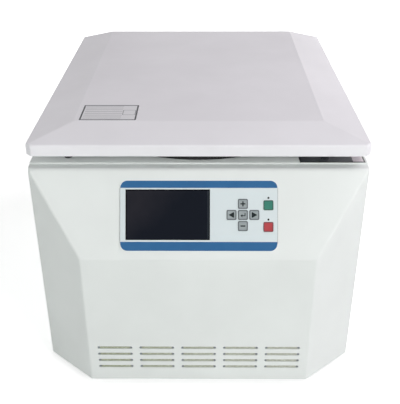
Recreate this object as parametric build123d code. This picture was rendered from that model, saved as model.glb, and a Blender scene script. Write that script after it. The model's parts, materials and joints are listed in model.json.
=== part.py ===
from build123d import *

import os
from math import cos, hypot, radians, sin

# Frame: origin on the bench under the middle of the overall length and width.
# +X to the right of someone facing the front, -Y is the front, +Z up. Millimetres.

# Cabinet
width = 450.0
depth = 560.0
height = 370.0  # bench to the lid's flat top
body_bottom = 12.0  # bench to the lower edge of the panels
crease_height = 221.0  # where the upright front starts to lean back
deck_seat = 324.7  # top of the panels, which the deck lies on
corner_width = 69.0  # each front corner facet, seen from the front
corner_depth = 59.0  # the same facet, seen from the side
slope_depth = 59.0  # how far the front leans back up to the deck
rear_inset = 4.0  # the rear panel stands in by this, so that its fittings don't overhang
skin = 1.5
bend = 6.0  # outer radius of the front cover's bends
flange_depth = 15.0
seam_gap = 0.5
deck_thickness = 2.0
spill = 1.0  # how far a cutting solid runs past what it cuts

# Base and frame
base_thickness = 3.0
foot_radius = 18.0
foot_edge = 1.0
foot_taper = 3.0
foot_web = 6.0  # rubber between a foot screw's head and the base plate
foot_inset_x = 50.0
foot_inset_front = 90.0
foot_inset_rear = 65.0
post_radius = 7.0
post_inset_x = 25.0
post_front = -170.0
post_rear = 130.0
shelf_top = 115.0
shelf_thickness = 3.0
shelf_margin = 9.0  # from a post's axis to the shelf's edge
shelf_motor_gap = 5.0

# Chamber
rotor_y = -31.0
bowl_radius = 150.0  # inside
bowl_wall = 1.5
bowl_floor = 120.0
bowl_corner = 14.0
bowl_flange = 18.0
bowl_hole_radius = 27.0
gasket_inner_radius = 153.5
gasket_outer_radius = 166.5
gasket_lip_height = 6.4
gasket_outer_taper = 3.0
gasket_inner_taper = 2.0
gasket_round = 1.5
heater_thickness = 2.0
heater_height = 130.0
armour_inner_radius = 158.0
armour_wall = 5.0
armour_height = 200.0
probe_radius = 3.0
probe_reach = 30.0  # above the chamber floor
probe_circle = 60.0
probe_fit = 0.1
probe_round = 2.0
probe_nut_radius = 5.5
probe_nut_thickness = 3.0
probe_washer_radius = 5.0
probe_washer_thickness = 1.0
seat_gap = 0.3  # between a curved or moving piece and what it lies against

# Motor
damper_radius = 12.0
damper_height = 20.0
damper_waist = 2.5
damper_rim = 4.0
damper_spread = 60.0
motor_flange_side = 150.0
motor_flange_corner = 12.0
motor_flange_thickness = 6.0
motor_radius = 70.0
motor_height = 66.5
motor_wall = 6.0
groove_count = 5
groove_start = 20.0
groove_pitch = 8.0
groove_width = 3.0
groove_depth = 2.0
motor_neck_radius = 20.0
motor_neck_height = 15.0
stator_inner_radius = 42.0
stator_height = 34.0
stator_slots = 12
stator_slot_depth = 14.0
stator_slot_width = 4.0
coil_inset = 3.0
coil_thickness = 9.0
coil_reach = 5.0  # above and below the core
air_gap = 1.0
bearing_radius = 16.0
bearing_height = 9.0
bearing_inset = 3.0
bearing_seat_wall = 4.0
shaft_radius = 10.0
shaft_fit = 0.03
shaft_end_gap = 0.5
neck_bore_radius = 12.0
boot_width = 10.0
boot_height = 6.0
boot_edge = 1.5
boot_lip = 2.5

# Rotor
sleeve_count = 8
sleeve_tilt = 30.0  # from upright
sleeve_length = 125.0
sleeve_radius = 14.0
sleeve_bore_radius = 12.5
sleeve_bottom = 2.0
sleeve_collar = 1.5
sleeve_collar_length = 3.0
sleeve_foot_circle = 127.0  # radius to the middle of a sleeve's closed end
sleeve_foot_height = 145.0
cushion_thickness = 3.0
cushion_gap = 0.3
dish_thickness = 2.0
dish_top = 232.0
dish_lip = 14.0
dish_seat_gap = 1.0
hoop_radius = 2.5
hoop_gap = 0.1
hoop_drop = 20.0  # below the sleeves' mouths, along the sleeve
spigot_radius = 18.0
spigot_height = 8.0
hub_flange_radius = 34.0
hub_flange_thickness = 8.0
hub_length = 34.0
taper_length = 26.0
taper_drop = 3.0  # radius lost over the taper
stud_radius = 6.0
stud_length = 36.0
knob_radius = 26.0
knob_height = 34.0
knob_grips = 12
knob_grip_radius = 3.0
knob_grip_offset = 1.0
knob_grip_start = 5.0
knob_round = 4.0
taper_fit = 0.02

# Lid
lid_gap = 18.8  # from the panels' top to the lid's lower edge
lid_edge = 15.2  # height of the lid's upright edge
lid_bevel = 56.0  # width of the bevels at the front and sides
lid_overhang_front = 1.0
lid_overhang_rear = 2.0
lid_corner = 7.5
lid_skin = 1.2
lid_bend = 3.0
bevel_bend = 8.0
liner_thickness = 1.5
liner_gap = 0.4
seal_plate_radius = 162.5
seal_plate_thickness = 1.0
label_width = 78.0
label_depth = 55.5
label_x = -123.5
label_y = -136.6
label_thickness = 0.2
label_corner = 2.0

# Lid hinges
hinge_setback = 5.0  # from the rear panel's face to the pin
hinge_spread = 130.0
hinge_length = 60.0
knuckle_radius = 6.0
pin_radius = 3.0
pin_fit = 0.05
leaf_thickness = 2.0
leaf_depth = 34.0
knuckle_gap = 0.4
leaf_clearance = 3.0  # from a knuckle to the other half's leaf
pin_bevel = 0.5

# Lid locks
lock_x = 180.0
lock_y = -115.0
lock_side = 40.0
lock_height = 36.0
striker_offset = 8.0  # from the housing's middle towards the chamber
striker_thickness = 4.0
striker_width = 24.0
striker_reach = 46.5
striker_window = 12.0
striker_foot = 9.0
striker_round = 4.0
striker_gap = 2.0
bolt_radius = 4.0
bolt_fit = 0.05
bolt_length = 18.0
bolt_bevel = 0.8
bolt_end_gap = 1.0
bolt_height = 308.0
bolt_rest_gap = 2.0  # between the slot and the drawn-back bolt

# Buffers and plate on the deck
buffer_radius = 5.4
buffer_stem_radius = 2.5
buffer_stem_length = 4.0
buffer_round = 1.0
buffer_x = 176.0
left_buffer_y = -187.0
right_buffer_y = -162.0
rear_buffer_y = 150.0
plate_width = 87.0
plate_depth = 30.0
plate_side_gap = 3.0
plate_front_gap = 0.5
plate_thickness = 0.5

# Front vents
vent_columns = 5
vent_rows = 4
vent_length = 49.6
vent_height = 4.6
vent_pitch_x = 59.4
vent_pitch_z = 11.6
vent_centre_height = 53.8
filter_margin = 10.0
filter_thickness = 6.0

# Control panel, laid out on the slope about the facia's middle
facia_width = 207.0
facia_height = 93.2
facia_corner = 9.5
facia_thickness = 0.8
facia_drop = 1.6  # below the slope's middle
facia_shift = 0.8  # to the right of it
screen_width = 110.6
screen_height = 66.2
screen_x = -40.7
screen_y = 1.4
screen_border = 3.0  # hidden edge of the window that lies on the cover
screen_gap = 0.15
screen_recess = 0.1
key_side = 12.7
key_corner = 1.6
key_gap = 0.2
key_rise = 0.8  # above the facia
key_flange = 0.7
key_flange_thickness = 0.9
key_slack = 0.3
key_travel = 0.5
key_stem_radius = 2.5
key_stem = 2.0
key_bevel = 0.4
cross_x = 57.8
cross_y = 1.2
cross_gap_x = 0.8  # between the flanges of neighbouring keys
cross_gap_y = 0.4
command_x = 91.2
command_pitch = 28.4
command_y = -0.3
lamp_radius = 1.3
lamp_offset = 9.6  # above a command key's middle
lamp_gap = 0.1
lamp_rise = 0.2
module_margin = 5.5
module_thickness = 5.0
glass_margin = 0.5
board_width = 224.0
board_height = 84.0
board_thickness = 1.6
board_depth = 8.0  # from the cover's inner face to the board
pillar_radius = 3.0
pillar_inset = 5.0
switch_side = 6.0
switch_gap = 0.1
chip_count = 3
chip_pitch = 45.0
chip_middle = -15.0
chip_width = 22.0
chip_height = 16.0
chip_thickness = 3.0
cover_window_margin = 1.6

# Electronics on the base plate
drive_width = 96.0
drive_length = 180.0
drive_height = 60.0
drive_x = -138.0
drive_y = -20.0
drive_round = 3.0
fin_count = 9
fin_thickness = 3.0
fin_height = 14.0
supply_width = 90.0
supply_length = 160.0
supply_height = 46.0
supply_x = 138.0
supply_y = -20.0
supply_slots = 7
supply_slot_margin = 12.0
supply_slot_start = 40.0
supply_slot_pitch = 14.0
supply_slot_width = 5.0
supply_slot_depth = 2.0
terminal_margin = 6.0
terminal_depth = 10.0
terminal_height = 12.0

# Rear fittings
fan_side = 120.0
fan_depth = 25.0
fan_corner = 6.0
fan_web = 4.0
fan_axle_radius = 3.0
fan_axle_start = 6.0
fan_x = -110.0
fan_z = 95.0
fan_bore_radius = 57.0
fan_hub_radius = 21.0
fan_blades = 7
fan_blade_thickness = 2.0
fan_blade_angle = 52.0
fan_blade_root = 3.0
impeller_inset = 3.0
impeller_gap = 0.5
impeller_round = 2.0
fan_tip_gap = 1.5
fan_strut = 5.0
fan_pitch = 105.0
guard_wire = 1.0
guard_rings = 5
guard_eye = 1.6
guard_eye_thickness = 1.5
guard_lift = 0.1  # the spokes clear the panel by this
guard_overlap = 0.4  # how far a spoke's wire is welded into the rings
inlet_x = 150.0
inlet_z = 80.0
inlet_width = 34.0
inlet_height = 72.0
inlet_rim = 4.0
inlet_corner = 3.0
inlet_body_width = 29.0
inlet_body_height = 60.0
inlet_body_depth = 30.0
inlet_drop = 13.0
socket_width = 24.5
socket_height = 17.0
socket_depth = 16.0
socket_bevel = 4.0
blade_width = 2.0
blade_height = 4.0
blade_length = 11.0
blade_spread = 7.0
blade_stagger = 2.0
rocker_rise = 19.0
rocker_width = 12.4
rocker_length = 19.4
rocker_thickness = 6.0
rocker_tilt = 8.0
rocker_gap = 0.8
rocker_side_gap = 0.3
rocker_round = 1.2
rocker_sink = 1.4  # from the rim's face to the top of the untilted rocker
rocker_well = 11.0

# Screws
screw_radius = 2.0
screw_head_radius = 3.8
screw_head_height = 1.9
screw_length = 7.0
screw_fit = 0.1
recess_length = 4.0
recess_width = 0.8
recess_depth = 0.9
rear_screw_margin = 30.0
deck_screw_middle = 60.0
deck_screw_pitch = 150.0

# Places that follow from the sizes above
half = width / 2
front = -depth / 2
shoulder = front + corner_depth
rear = depth / 2 - rear_inset
seam = front + slope_depth + flange_depth
flange_end = seam + flange_depth - seam_gap
deck_top = deck_seat + deck_thickness
base_bottom = body_bottom + skin
base_top = base_bottom + base_thickness
slope_length = hypot(slope_depth, deck_seat - crease_height)
slope_out = Vector(0, -(deck_seat - crease_height), slope_depth).normalized()
slope_up = Vector(0, slope_depth, deck_seat - crease_height).normalized()
slope_middle = Vector(facia_shift, front, crease_height) + slope_up * (slope_length / 2 - facia_drop)
panel = Plane(origin=slope_middle, x_dir=(1, 0, 0), z_dir=slope_out)
lid_bottom = deck_seat + lid_gap
lid_front = front + slope_depth - lid_overhang_front
lid_rear = rear + lid_overhang_rear
gasket_top = lid_bottom - seal_plate_thickness - seat_gap
hinge_y = rear - hinge_setback
hinge_z = (deck_top + lid_bottom) / 2
motor_bottom = base_top + damper_height
motor_top = motor_bottom + motor_flange_thickness + motor_height
cross_pitch_x = key_side + 2 * key_flange + cross_gap_x
cross_pitch_y = key_side + 2 * key_flange + cross_gap_y
spin = Pos(0, rotor_y, 0)


def block(x, y, z):
    """A box given by its (low, high) pairs."""
    size = [high - low for low, high in (x, y, z)]
    middle = [(high + low) / 2 for low, high in (x, y, z)]
    return Pos(*middle) * Box(*size)


def disc(radius, low, high):
    """An upright cylinder about Z."""
    return Pos(0, 0, (low + high) / 2) * Cylinder(radius, high - low)


def ring(outer, inner, low, high):
    return disc(outer, low, high) - disc(inner, low - 1, high + 1)


def turned(*points):
    """A solid of revolution about Z from (radius, height) points."""
    return revolve(Plane.XZ * make_face(Polyline(*points, close=True)), Axis.Z)


def on_panel(x, y, low, high, sketch):
    """A sketch raised between two heights over the slope."""
    return panel * Pos(x, y, low) * extrude(sketch, high - low)


def inset_face(face, inset):
    return offset(face, -inset, kind=Kind.INTERSECTION) if inset else face


def corner_points(x, y):
    return [(sx * x, sy * y) for sx in (-1, 1) for sy in (-1, 1)]


# Cabinet sheet metal


def mirrored_plan(*right):
    """A plan view that is symmetrical about x = 0, from its right-hand points, rear to front."""
    left = [(-x, y) for x, y in right]
    return Polygon(*left, *reversed(right), align=None)


def cabinet_plan():
    return mirrored_plan((half, rear), (half, shoulder), (half - corner_width, front))


def slope_cut(inset):
    """What lies in front of the sloped upper front."""
    lean = slope_depth / (deck_seat - crease_height)
    low, high = crease_height - 20, deck_seat + 20
    bottom = front + (low - crease_height) * lean + inset * hypot(1, lean)
    top = bottom + (high - low) * lean
    points = [(bottom, low), (top, high), (2 * front, high), (2 * front, low)]
    return extrude(Plane.YZ * Polygon(*points, align=None), width, both=True)


def cabinet_block(inset):
    """The cabinet's outer form with its front bends rounded, every face but the bottom moved in by inset."""
    plan = inset_face(cabinet_plan(), inset)
    body = Pos(0, 0, body_bottom - inset) * extrude(plan, deck_seat - body_bottom) - slope_cut(inset)
    raised = [e for e in body.edges() if e.center().Z > body_bottom + 1]
    bends = [e for e in raised if e.center().Y < 0]
    return fillet(bends, bend - inset)


def cabinet_shell():
    return cabinet_block(0) - cabinet_block(skin)


def vent_cuts():
    slot = extrude(Plane.XZ * SlotOverall(vent_length, vent_height), 3 * skin, both=True)
    across = [(i - (vent_columns - 1) / 2) * vent_pitch_x for i in range(vent_columns)]
    up = [vent_centre_height + (i - (vent_rows - 1) / 2) * vent_pitch_z for i in range(vent_rows)]
    return [Pos(x, front, z) * slot for x in across for z in up]


def key_places():
    """Name and place of each key on the panel."""
    return {
        "key_up": (cross_x, cross_y + cross_pitch_y),
        "key_down": (cross_x, cross_y - cross_pitch_y),
        "key_left": (cross_x - cross_pitch_x, cross_y),
        "key_right": (cross_x + cross_pitch_x, cross_y),
        "key_enter": (cross_x, cross_y),
        "key_start": (command_x, command_y + command_pitch / 2),
        "key_stop": (command_x, command_y - command_pitch / 2),
    }


def lamp_places():
    places = key_places()
    return [(places[name][0], places[name][1] + lamp_offset) for name in ("key_start", "key_stop")]


def cover_windows():
    """Cut-outs through the cover, behind the facia."""
    low, high = -3 * skin, skin
    flange_side = key_side + 2 * (key_flange + cover_window_margin)
    screen = Rectangle(screen_width - 2 * screen_border, screen_height - 2 * screen_border)
    cuts = [on_panel(screen_x, screen_y, low, high, screen)]
    cuts += [on_panel(x, y, low, high, Rectangle(flange_side, flange_side)) for x, y in key_places().values()]
    cuts += [on_panel(x, y, low, high, Circle(lamp_radius + cover_window_margin)) for x, y in lamp_places()]
    return cuts


def make_front_cover(shell):
    wide, tall = (-width, width), (0, height)
    inner = half - skin - seam_gap
    flange = block((-inner, inner), (front, flange_end), (deck_seat - skin, height))
    flange -= spin * disc(bowl_radius + bowl_wall + bowl_flange + seam_gap, 0, height)
    cover = shell & (block(wide, (front - 1, seam), tall) + flange)
    return cover - vent_cuts() - cover_windows()


def make_side_panel(shell, side):
    inner = half - flange_depth
    along = (seam + seam_gap, rear - skin)
    reach = block((inner, half + 1), along, (0, height))
    reach -= block((0, half - skin), (front, flange_end + seam_gap), (deck_seat - skin, height))
    bottom = block((inner, half - skin), along, (body_bottom, base_bottom))
    upright = (base_top + seam_gap, deck_seat - skin)
    back = block((inner, half - skin), (rear - 2 * skin, rear - skin), upright)
    panel_sheet = (shell & reach) + bottom + back
    placed = panel_sheet if side > 0 else mirror(panel_sheet, Plane.YZ)
    return placed - rear_screw_holes() - deck_screw_holes()


def make_rear_panel():
    sheet = block((-half, half), (rear - skin, rear), (body_bottom, deck_seat))
    inner = half - flange_depth - seam_gap
    flange = block((-inner, inner), (rear - flange_depth, rear - skin), (deck_seat - skin, deck_seat))
    fan_hole = Pos(fan_x, rear, fan_z) * Rot(90, 0, 0) * Cylinder(fan_bore_radius, 4 * skin)
    inlet_hole = block(
        (inlet_x - inlet_body_width / 2, inlet_x + inlet_body_width / 2),
        (rear - 2 * skin, rear + skin),
        (inlet_z - inlet_body_height / 2, inlet_z + inlet_body_height / 2),
    )
    return sheet + flange - fan_hole - inlet_hole - rear_screw_holes() - fan_screw_holes()


def make_top_deck():
    sheet = block((-half, half), (seam, rear), (deck_seat, deck_top))
    sheet = fillet(sheet.edges().group_by(Axis.Z)[-1].sort_by(Axis.Y)[0], deck_thickness / 2)
    cuts = [spin * disc(bowl_radius + bowl_wall, deck_seat - 1, deck_top + 1)]
    cuts += [striker_slot(side) for side in (-1, 1)]
    hole = disc(buffer_stem_radius, deck_seat - 1, deck_top + 1)
    cuts += [Pos(x, y, 0) * hole for x, y in buffer_places()]
    return sheet - cuts - deck_screw_holes()


def make_base_plate():
    plan = inset_face(cabinet_plan(), skin + seam_gap)
    plan = fillet([v for v in plan.vertices() if v.Y < 0], bend)
    return Pos(0, 0, base_bottom) * extrude(plan, base_thickness) - foot_screw_holes()


# Screws: each group's places serve both the screws and their holes


def rear_screw_places():
    x = half - flange_depth / 2
    heights = [body_bottom + rear_screw_margin, (body_bottom + deck_seat) / 2, deck_seat - rear_screw_margin]
    return [Pos(sx * x, rear, z) * Rot(-90, 0, 0) for sx in (-1, 1) for z in heights]


def fan_screw_places():
    spots = corner_points(fan_pitch / 2, fan_pitch / 2)
    return [Pos(fan_x + x, rear, fan_z + z) * Rot(-90, 0, 0) for x, z in spots]


def deck_screw_places():
    x = half - flange_depth / 2
    along = [deck_screw_middle + i * deck_screw_pitch for i in (-1, 0, 1)]
    return [Pos(sx * x, y, deck_top) for sx in (-1, 1) for y in along]


def foot_screw_places():
    return [Pos(x, y, base_bottom - foot_web) * Rot(180, 0, 0) for x, y in foot_places()]


def screw_holes(places):
    hole = Cylinder(screw_radius + screw_fit, 2 * screw_length)
    return [place * hole for place in places]


def rear_screw_holes():
    return screw_holes(rear_screw_places())


def fan_screw_holes():
    return screw_holes(fan_screw_places())


def deck_screw_holes():
    return screw_holes(deck_screw_places())


def foot_screw_holes():
    return screw_holes(foot_screw_places())


def make_screws():
    """Pan-head screws, each with a cross recess, seated at the origin of its place."""
    head = Pos(0, 0, screw_head_height / 2) * Cylinder(screw_head_radius, screw_head_height)
    head = fillet(head.edges().group_by(Axis.Z)[-1], screw_head_height * 0.6)
    long, wide = recess_length / 2, recess_width / 2
    deep = (screw_head_height - recess_depth, screw_head_height + spill)
    recess = block((-long, long), (-wide, wide), deep)
    screw = head + disc(screw_radius, -screw_length, 0) - recess - Rot(0, 0, 90) * recess
    places = rear_screw_places() + fan_screw_places() + deck_screw_places() + foot_screw_places()
    return [place * screw for place in places]


# Base, feet and frame


def foot_places():
    x = half - foot_inset_x
    return [(sx * x, y) for sx in (-1, 1) for y in (front + foot_inset_front, rear - foot_inset_rear)]


def make_feet():
    foot = turned((0, 0), (foot_radius - foot_edge, 0), (foot_radius, foot_edge),
                  (foot_radius - foot_taper, base_bottom), (0, base_bottom))
    recess = disc(screw_head_radius + foot_edge, -spill, base_bottom - foot_web)
    hole = disc(screw_radius + screw_fit, -spill, base_bottom + spill)
    return [Pos(x, y, 0) * (foot - recess - hole) for x, y in foot_places()]


def post_places():
    x = half - post_inset_x
    return [(sx * x, y) for sx in (-1, 1) for y in (post_front, post_rear)]


def make_posts():
    lower = disc(post_radius, base_top, shelf_top - shelf_thickness)
    upper = disc(post_radius, shelf_top, deck_seat)
    return [Pos(x, y, 0) * post for x, y in post_places() for post in (lower, upper)]


def make_shelf():
    x = half - post_inset_x + shelf_margin
    along = (post_front - shelf_margin, post_rear + shelf_margin)
    plate = block((-x, x), along, (shelf_top - shelf_thickness, shelf_top))
    return plate - spin * disc(motor_radius + shelf_motor_gap, 0, height)


# Chamber


def make_bowl():
    """A spun bowl with a rounded floor corner and an out-turned rim under the deck."""
    outer = bowl_radius + bowl_wall
    under = bowl_floor - bowl_wall
    turn = bowl_corner
    arc_out = RadiusArc((outer - turn, under), (outer, under + turn), -turn)
    arc_in = RadiusArc((outer - turn, bowl_floor), (bowl_radius, under + turn), bowl_wall - turn)
    edges = [
        Line((bowl_hole_radius, under), (outer - turn, under)),
        arc_out,
        Polyline(
            (outer, under + turn),
            (outer, deck_seat - bowl_wall),
            (outer + bowl_flange, deck_seat - bowl_wall),
            (outer + bowl_flange, deck_seat),
            (bowl_radius, deck_seat),
            (bowl_radius, under + turn),
        ),
        arc_in,
        Polyline((outer - turn, bowl_floor), (bowl_hole_radius, bowl_floor), (bowl_hole_radius, under)),
    ]
    bowl = revolve(Plane.XZ * make_face(edges), Axis.Z)
    return spin * (bowl - Pos(0, -probe_circle, 0) * disc(probe_radius + probe_fit, 0, height))


def make_gasket():
    low, high = gasket_inner_radius, gasket_outer_radius
    lip = gasket_top - gasket_lip_height
    profile = Polygon(
        (low, deck_top), (high, deck_top), (high, lip), (high - gasket_outer_taper, gasket_top),
        (low + gasket_inner_taper, gasket_top), (low, lip), align=None)
    profile = fillet([v for v in profile.vertices() if v.Y > deck_top + 1], gasket_round)
    return spin * revolve(Plane.XZ * profile, Axis.Z)


def make_heater():
    inner = bowl_radius + bowl_wall + seat_gap
    low = bowl_floor + bowl_corner
    return spin * ring(inner + heater_thickness, inner, low, low + heater_height)


def make_armour():
    outer = armour_inner_radius + armour_wall
    return spin * ring(outer, armour_inner_radius, shelf_top, shelf_top + armour_height)


def make_probe():
    under = bowl_floor - bowl_wall
    stem = disc(probe_radius, under - 2 * probe_nut_thickness, bowl_floor + probe_reach)
    stem = fillet(stem.edges().group_by(Axis.Z)[-1], probe_round)
    nut = extrude(RegularPolygon(probe_nut_radius, 6), -probe_nut_thickness)
    nut = Pos(0, 0, under) * nut
    washer = ring(probe_washer_radius, probe_radius, bowl_floor, bowl_floor + probe_washer_thickness)
    return spin * Pos(0, -probe_circle, 0) * (stem + nut + washer)


def make_boot():
    low = bowl_floor
    inner = motor_neck_radius + seat_gap
    neck = bowl_hole_radius - seat_gap
    outer = bowl_hole_radius + boot_width
    top = low + boot_height
    return spin * turned(
        (inner, low - bowl_wall), (neck, low - bowl_wall), (neck, low), (outer, low),
        (outer, low + boot_edge),
        (inner + 2 * boot_lip, low + 2 * boot_edge), (inner + boot_lip, top), (inner, top))


# Motor and shaft


def make_motor_housing():
    side = motor_flange_side / 2
    flange = block((-side, side), (-side, side), (motor_bottom, motor_bottom + motor_flange_thickness))
    flange = fillet(flange.edges().filter_by(Axis.Z), motor_flange_corner)
    body = disc(motor_radius, motor_bottom, motor_top)
    neck = disc(motor_neck_radius, motor_top, motor_top + motor_neck_height)
    cavity = disc(motor_radius - motor_wall, motor_bottom + motor_wall, motor_top - motor_wall)
    seat = bearing_radius + bearing_seat_wall
    lower, upper = bearing_low()
    seats = ring(seat, bearing_radius, motor_bottom, lower + bearing_height)
    seats += ring(seat, bearing_radius, upper, motor_top)
    pockets = [disc(bearing_radius, z, z + bearing_height) for z in (lower, upper)]
    bore = disc(neck_bore_radius, lower, height)
    starts = [motor_bottom + groove_start + groove_pitch * i for i in range(groove_count)]
    grooves = [ring(motor_radius + spill, motor_radius - groove_depth, z, z + groove_width) for z in starts]
    return spin * (flange + body + neck - cavity + seats - pockets - bore - grooves)


def bearing_low():
    """Lower faces of the two bearings."""
    return motor_bottom + bearing_inset, motor_top - bearing_inset - bearing_height


def make_stator():
    """A slotted core, with one closed ring for its windings."""
    middle = (motor_bottom + motor_top) / 2
    reach = stator_height / 2
    core = ring(motor_radius - motor_wall, stator_inner_radius, middle - reach, middle + reach)
    wide = stator_slot_width / 2
    deep = (stator_inner_radius - spill, stator_inner_radius + stator_slot_depth)
    slot = block(deep, (-wide, wide), (0, height))
    slots = [Rot(0, 0, 360 / stator_slots * i) * slot for i in range(stator_slots)]
    coil_inner = stator_inner_radius + coil_inset
    reach += coil_reach
    coils = ring(coil_inner + coil_thickness, coil_inner, middle - reach, middle + reach)
    return spin * (core - slots + coils)


def make_bearings():
    bore = shaft_radius + shaft_fit
    return [spin * ring(bearing_radius, bore, z, z + bearing_height) for z in bearing_low()]


def make_dampers():
    waist = damper_radius - damper_waist
    middle = (base_top + motor_bottom) / 2
    damper = turned(
        (0, base_top), (damper_radius, base_top), (damper_radius, base_top + damper_rim), (waist, middle),
        (damper_radius, motor_bottom - damper_rim), (damper_radius, motor_bottom), (0, motor_bottom))
    return [spin * Pos(x, y, 0) * damper for x, y in corner_points(damper_spread, damper_spread)]


def hub_low():
    return dish_top - dish_thickness - hub_length


def taper_points(grow):
    """The shaft's taper and stud, from its shoulder up, each radius grown by a clearance."""
    low = hub_low()
    narrow = shaft_radius - taper_drop
    top = low + taper_length
    return [(shaft_radius + grow, low), (narrow + grow, top), (stud_radius + grow, top)]


def make_shaft():
    low = bearing_low()[0] + shaft_end_gap
    stud_top = hub_low() + taper_length + stud_length
    shaft = turned((0, low), (shaft_radius, low), *taper_points(0), (stud_radius, stud_top), (0, stud_top))
    middle = (motor_bottom + motor_top) / 2
    reach = stator_height / 2
    core = ring(stator_inner_radius - air_gap, shaft_radius, middle - reach, middle + reach)
    return spin * (shaft + core)


# Rotor


def along_sleeve(distance, side):
    """(radius, height) at a distance up a sleeve's axis, and to its outer side."""
    tilt = radians(sleeve_tilt)
    radius = sleeve_foot_circle - distance * sin(tilt) + side * cos(tilt)
    return radius, sleeve_foot_height + distance * cos(tilt) + side * sin(tilt)


def on_sleeves(solid):
    """Copies of a solid, modelled about +Z from the origin, on every sleeve's axis."""
    tilted = Pos(sleeve_foot_circle, 0, sleeve_foot_height) * Rot(0, -sleeve_tilt, 0) * solid
    return [spin * Rot(0, 0, 360 / sleeve_count * i) * tilted for i in range(sleeve_count)]


def make_sleeves():
    tube = disc(sleeve_radius, 0, sleeve_length)
    tube += disc(sleeve_radius + sleeve_collar, sleeve_length - sleeve_collar_length, sleeve_length)
    tube -= disc(sleeve_bore_radius, sleeve_bottom, sleeve_length + spill)
    return on_sleeves(tube)


def make_cushions():
    low = sleeve_bottom
    return on_sleeves(disc(sleeve_bore_radius - cushion_gap, low, low + cushion_thickness))


def make_dish():
    """A spun dish that backs the sleeves and turns up round their closed ends."""
    t = dish_thickness
    back = -sleeve_radius - seat_gap
    rim = sleeve_radius + seat_gap
    seat = -dish_seat_gap
    turn = dish_top - dish_thickness
    tilt = radians(sleeve_tilt)

    def at_height(side, z):
        distance = (z - sleeve_foot_height - side * sin(tilt)) / cos(tilt)
        return along_sleeve(distance, side)

    bore = spigot_radius
    return spin * turned(
        (bore, turn), at_height(back - t, turn), along_sleeve(seat - t, back - t),
        along_sleeve(seat - t, rim + t),
        along_sleeve(dish_lip, rim + t), along_sleeve(dish_lip, rim), along_sleeve(seat, rim),
        along_sleeve(seat, back), at_height(back, dish_top), (bore, dish_top))


def make_hoop():
    radius, z = along_sleeve(sleeve_length - hoop_drop, sleeve_radius + hoop_radius + hoop_gap)
    return spin * Pos(0, 0, z) * Torus(radius, hoop_radius)


def make_hub():
    flange_top = dish_top - dish_thickness
    low = hub_low()
    hub = disc(spigot_radius, low, dish_top + spigot_height)
    hub += disc(hub_flange_radius, flange_top - hub_flange_thickness, flange_top)
    bore = turned((0, low - spill), (shaft_radius + taper_fit, low - spill), *taper_points(taper_fit),
                  (stud_radius + taper_fit, height), (0, height))
    return spin * (hub - bore)


def make_knob():
    top = dish_top + knob_height
    knob = fillet(disc(knob_radius, dish_top, top).edges().group_by(Axis.Z)[-1], knob_round)
    knob -= disc(spigot_radius + seat_gap, dish_top - spill, dish_top + spigot_height + seat_gap)
    knob -= disc(stud_radius + taper_fit, dish_top - spill, hub_low() + taper_length + stud_length + spill)
    grip = disc(knob_grip_radius, dish_top + knob_grip_start, top + spill)
    grip = Pos(knob_radius + knob_grip_offset, 0, 0) * grip
    return spin * (knob - [Rot(0, 0, 360 / knob_grips * i) * grip for i in range(knob_grips)])


# Lid


def lid_plan():
    return mirrored_plan((half, lid_rear), (half, lid_front + lid_corner), (half - lid_corner, lid_front))


def bevel_cut(reach, inset):
    """What lies above the bevel that rises inwards from x = reach."""
    climb = (height - lid_bottom - lid_edge) / lid_bevel
    drop = inset * hypot(1, climb)
    outer, inner = reach + lid_bevel, reach - 2 * lid_bevel
    low = lid_bottom + lid_edge - drop
    slant = [(outer, low - lid_bevel * climb), (inner, low + 2 * lid_bevel * climb)]
    points = slant + [(inner, 2 * height), (outer, 2 * height)]
    return extrude(Plane.XZ * Polygon(*points, align=None), depth, both=True)


def lid_block(inset):
    """The lid's outer form before its bends, with every face but the bottom moved in by inset."""
    body = Pos(0, 0, lid_bottom - inset) * extrude(inset_face(lid_plan(), inset), height - lid_bottom)
    side_cut = bevel_cut(half, inset)
    return body - side_cut - mirror(side_cut, Plane.YZ) - Rot(0, 0, -90) * bevel_cut(-lid_front, inset)


def bent_lid():
    """The lid's outer form with its bends rounded."""
    body = lid_block(0)
    edge_top = lid_bottom + lid_edge
    inside = [e for e in body.edges() if e.center().Z > edge_top + 2 and e.center().Y < lid_rear - 1]
    hips_and_flats = [e for e in inside if abs(e.center().X) < half - 1]
    body = fillet(hips_and_flats, bevel_bend)
    low_edges = [e for e in body.edges() if edge_top - 1 < e.center().Z < edge_top + 2]
    rim = [e for e in low_edges if e.center().Y < lid_rear - 1]
    corners = [e for e in body.edges().filter_by(Axis.Z) if e.center().Y < 0]
    return fillet(rim + corners, lid_bend)


def make_lid_shell():
    return bent_lid() - lid_block(lid_skin)


def make_lid_liner():
    inset = lid_skin + liner_gap
    return lid_block(inset) & block((-half, half), (front, depth), (lid_bottom, lid_bottom + liner_thickness))


def make_seal_plate():
    return spin * disc(seal_plate_radius, lid_bottom - seal_plate_thickness, lid_bottom)


def make_lid_label():
    label = extrude(RectangleRounded(label_width, label_depth, label_corner), label_thickness)
    return Pos(label_x, label_y, height) * label


def strike_x(side):
    return side * (lock_x - striker_offset)


def striker_slot(side):
    x, thick = strike_x(side), striker_thickness / 2 + striker_gap
    deep = striker_width / 2 + 2 * striker_gap
    through = (deck_seat - spill, deck_top + spill)
    return block((x - thick, x + thick), (lock_y - deep, lock_y + deep), through)


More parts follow.
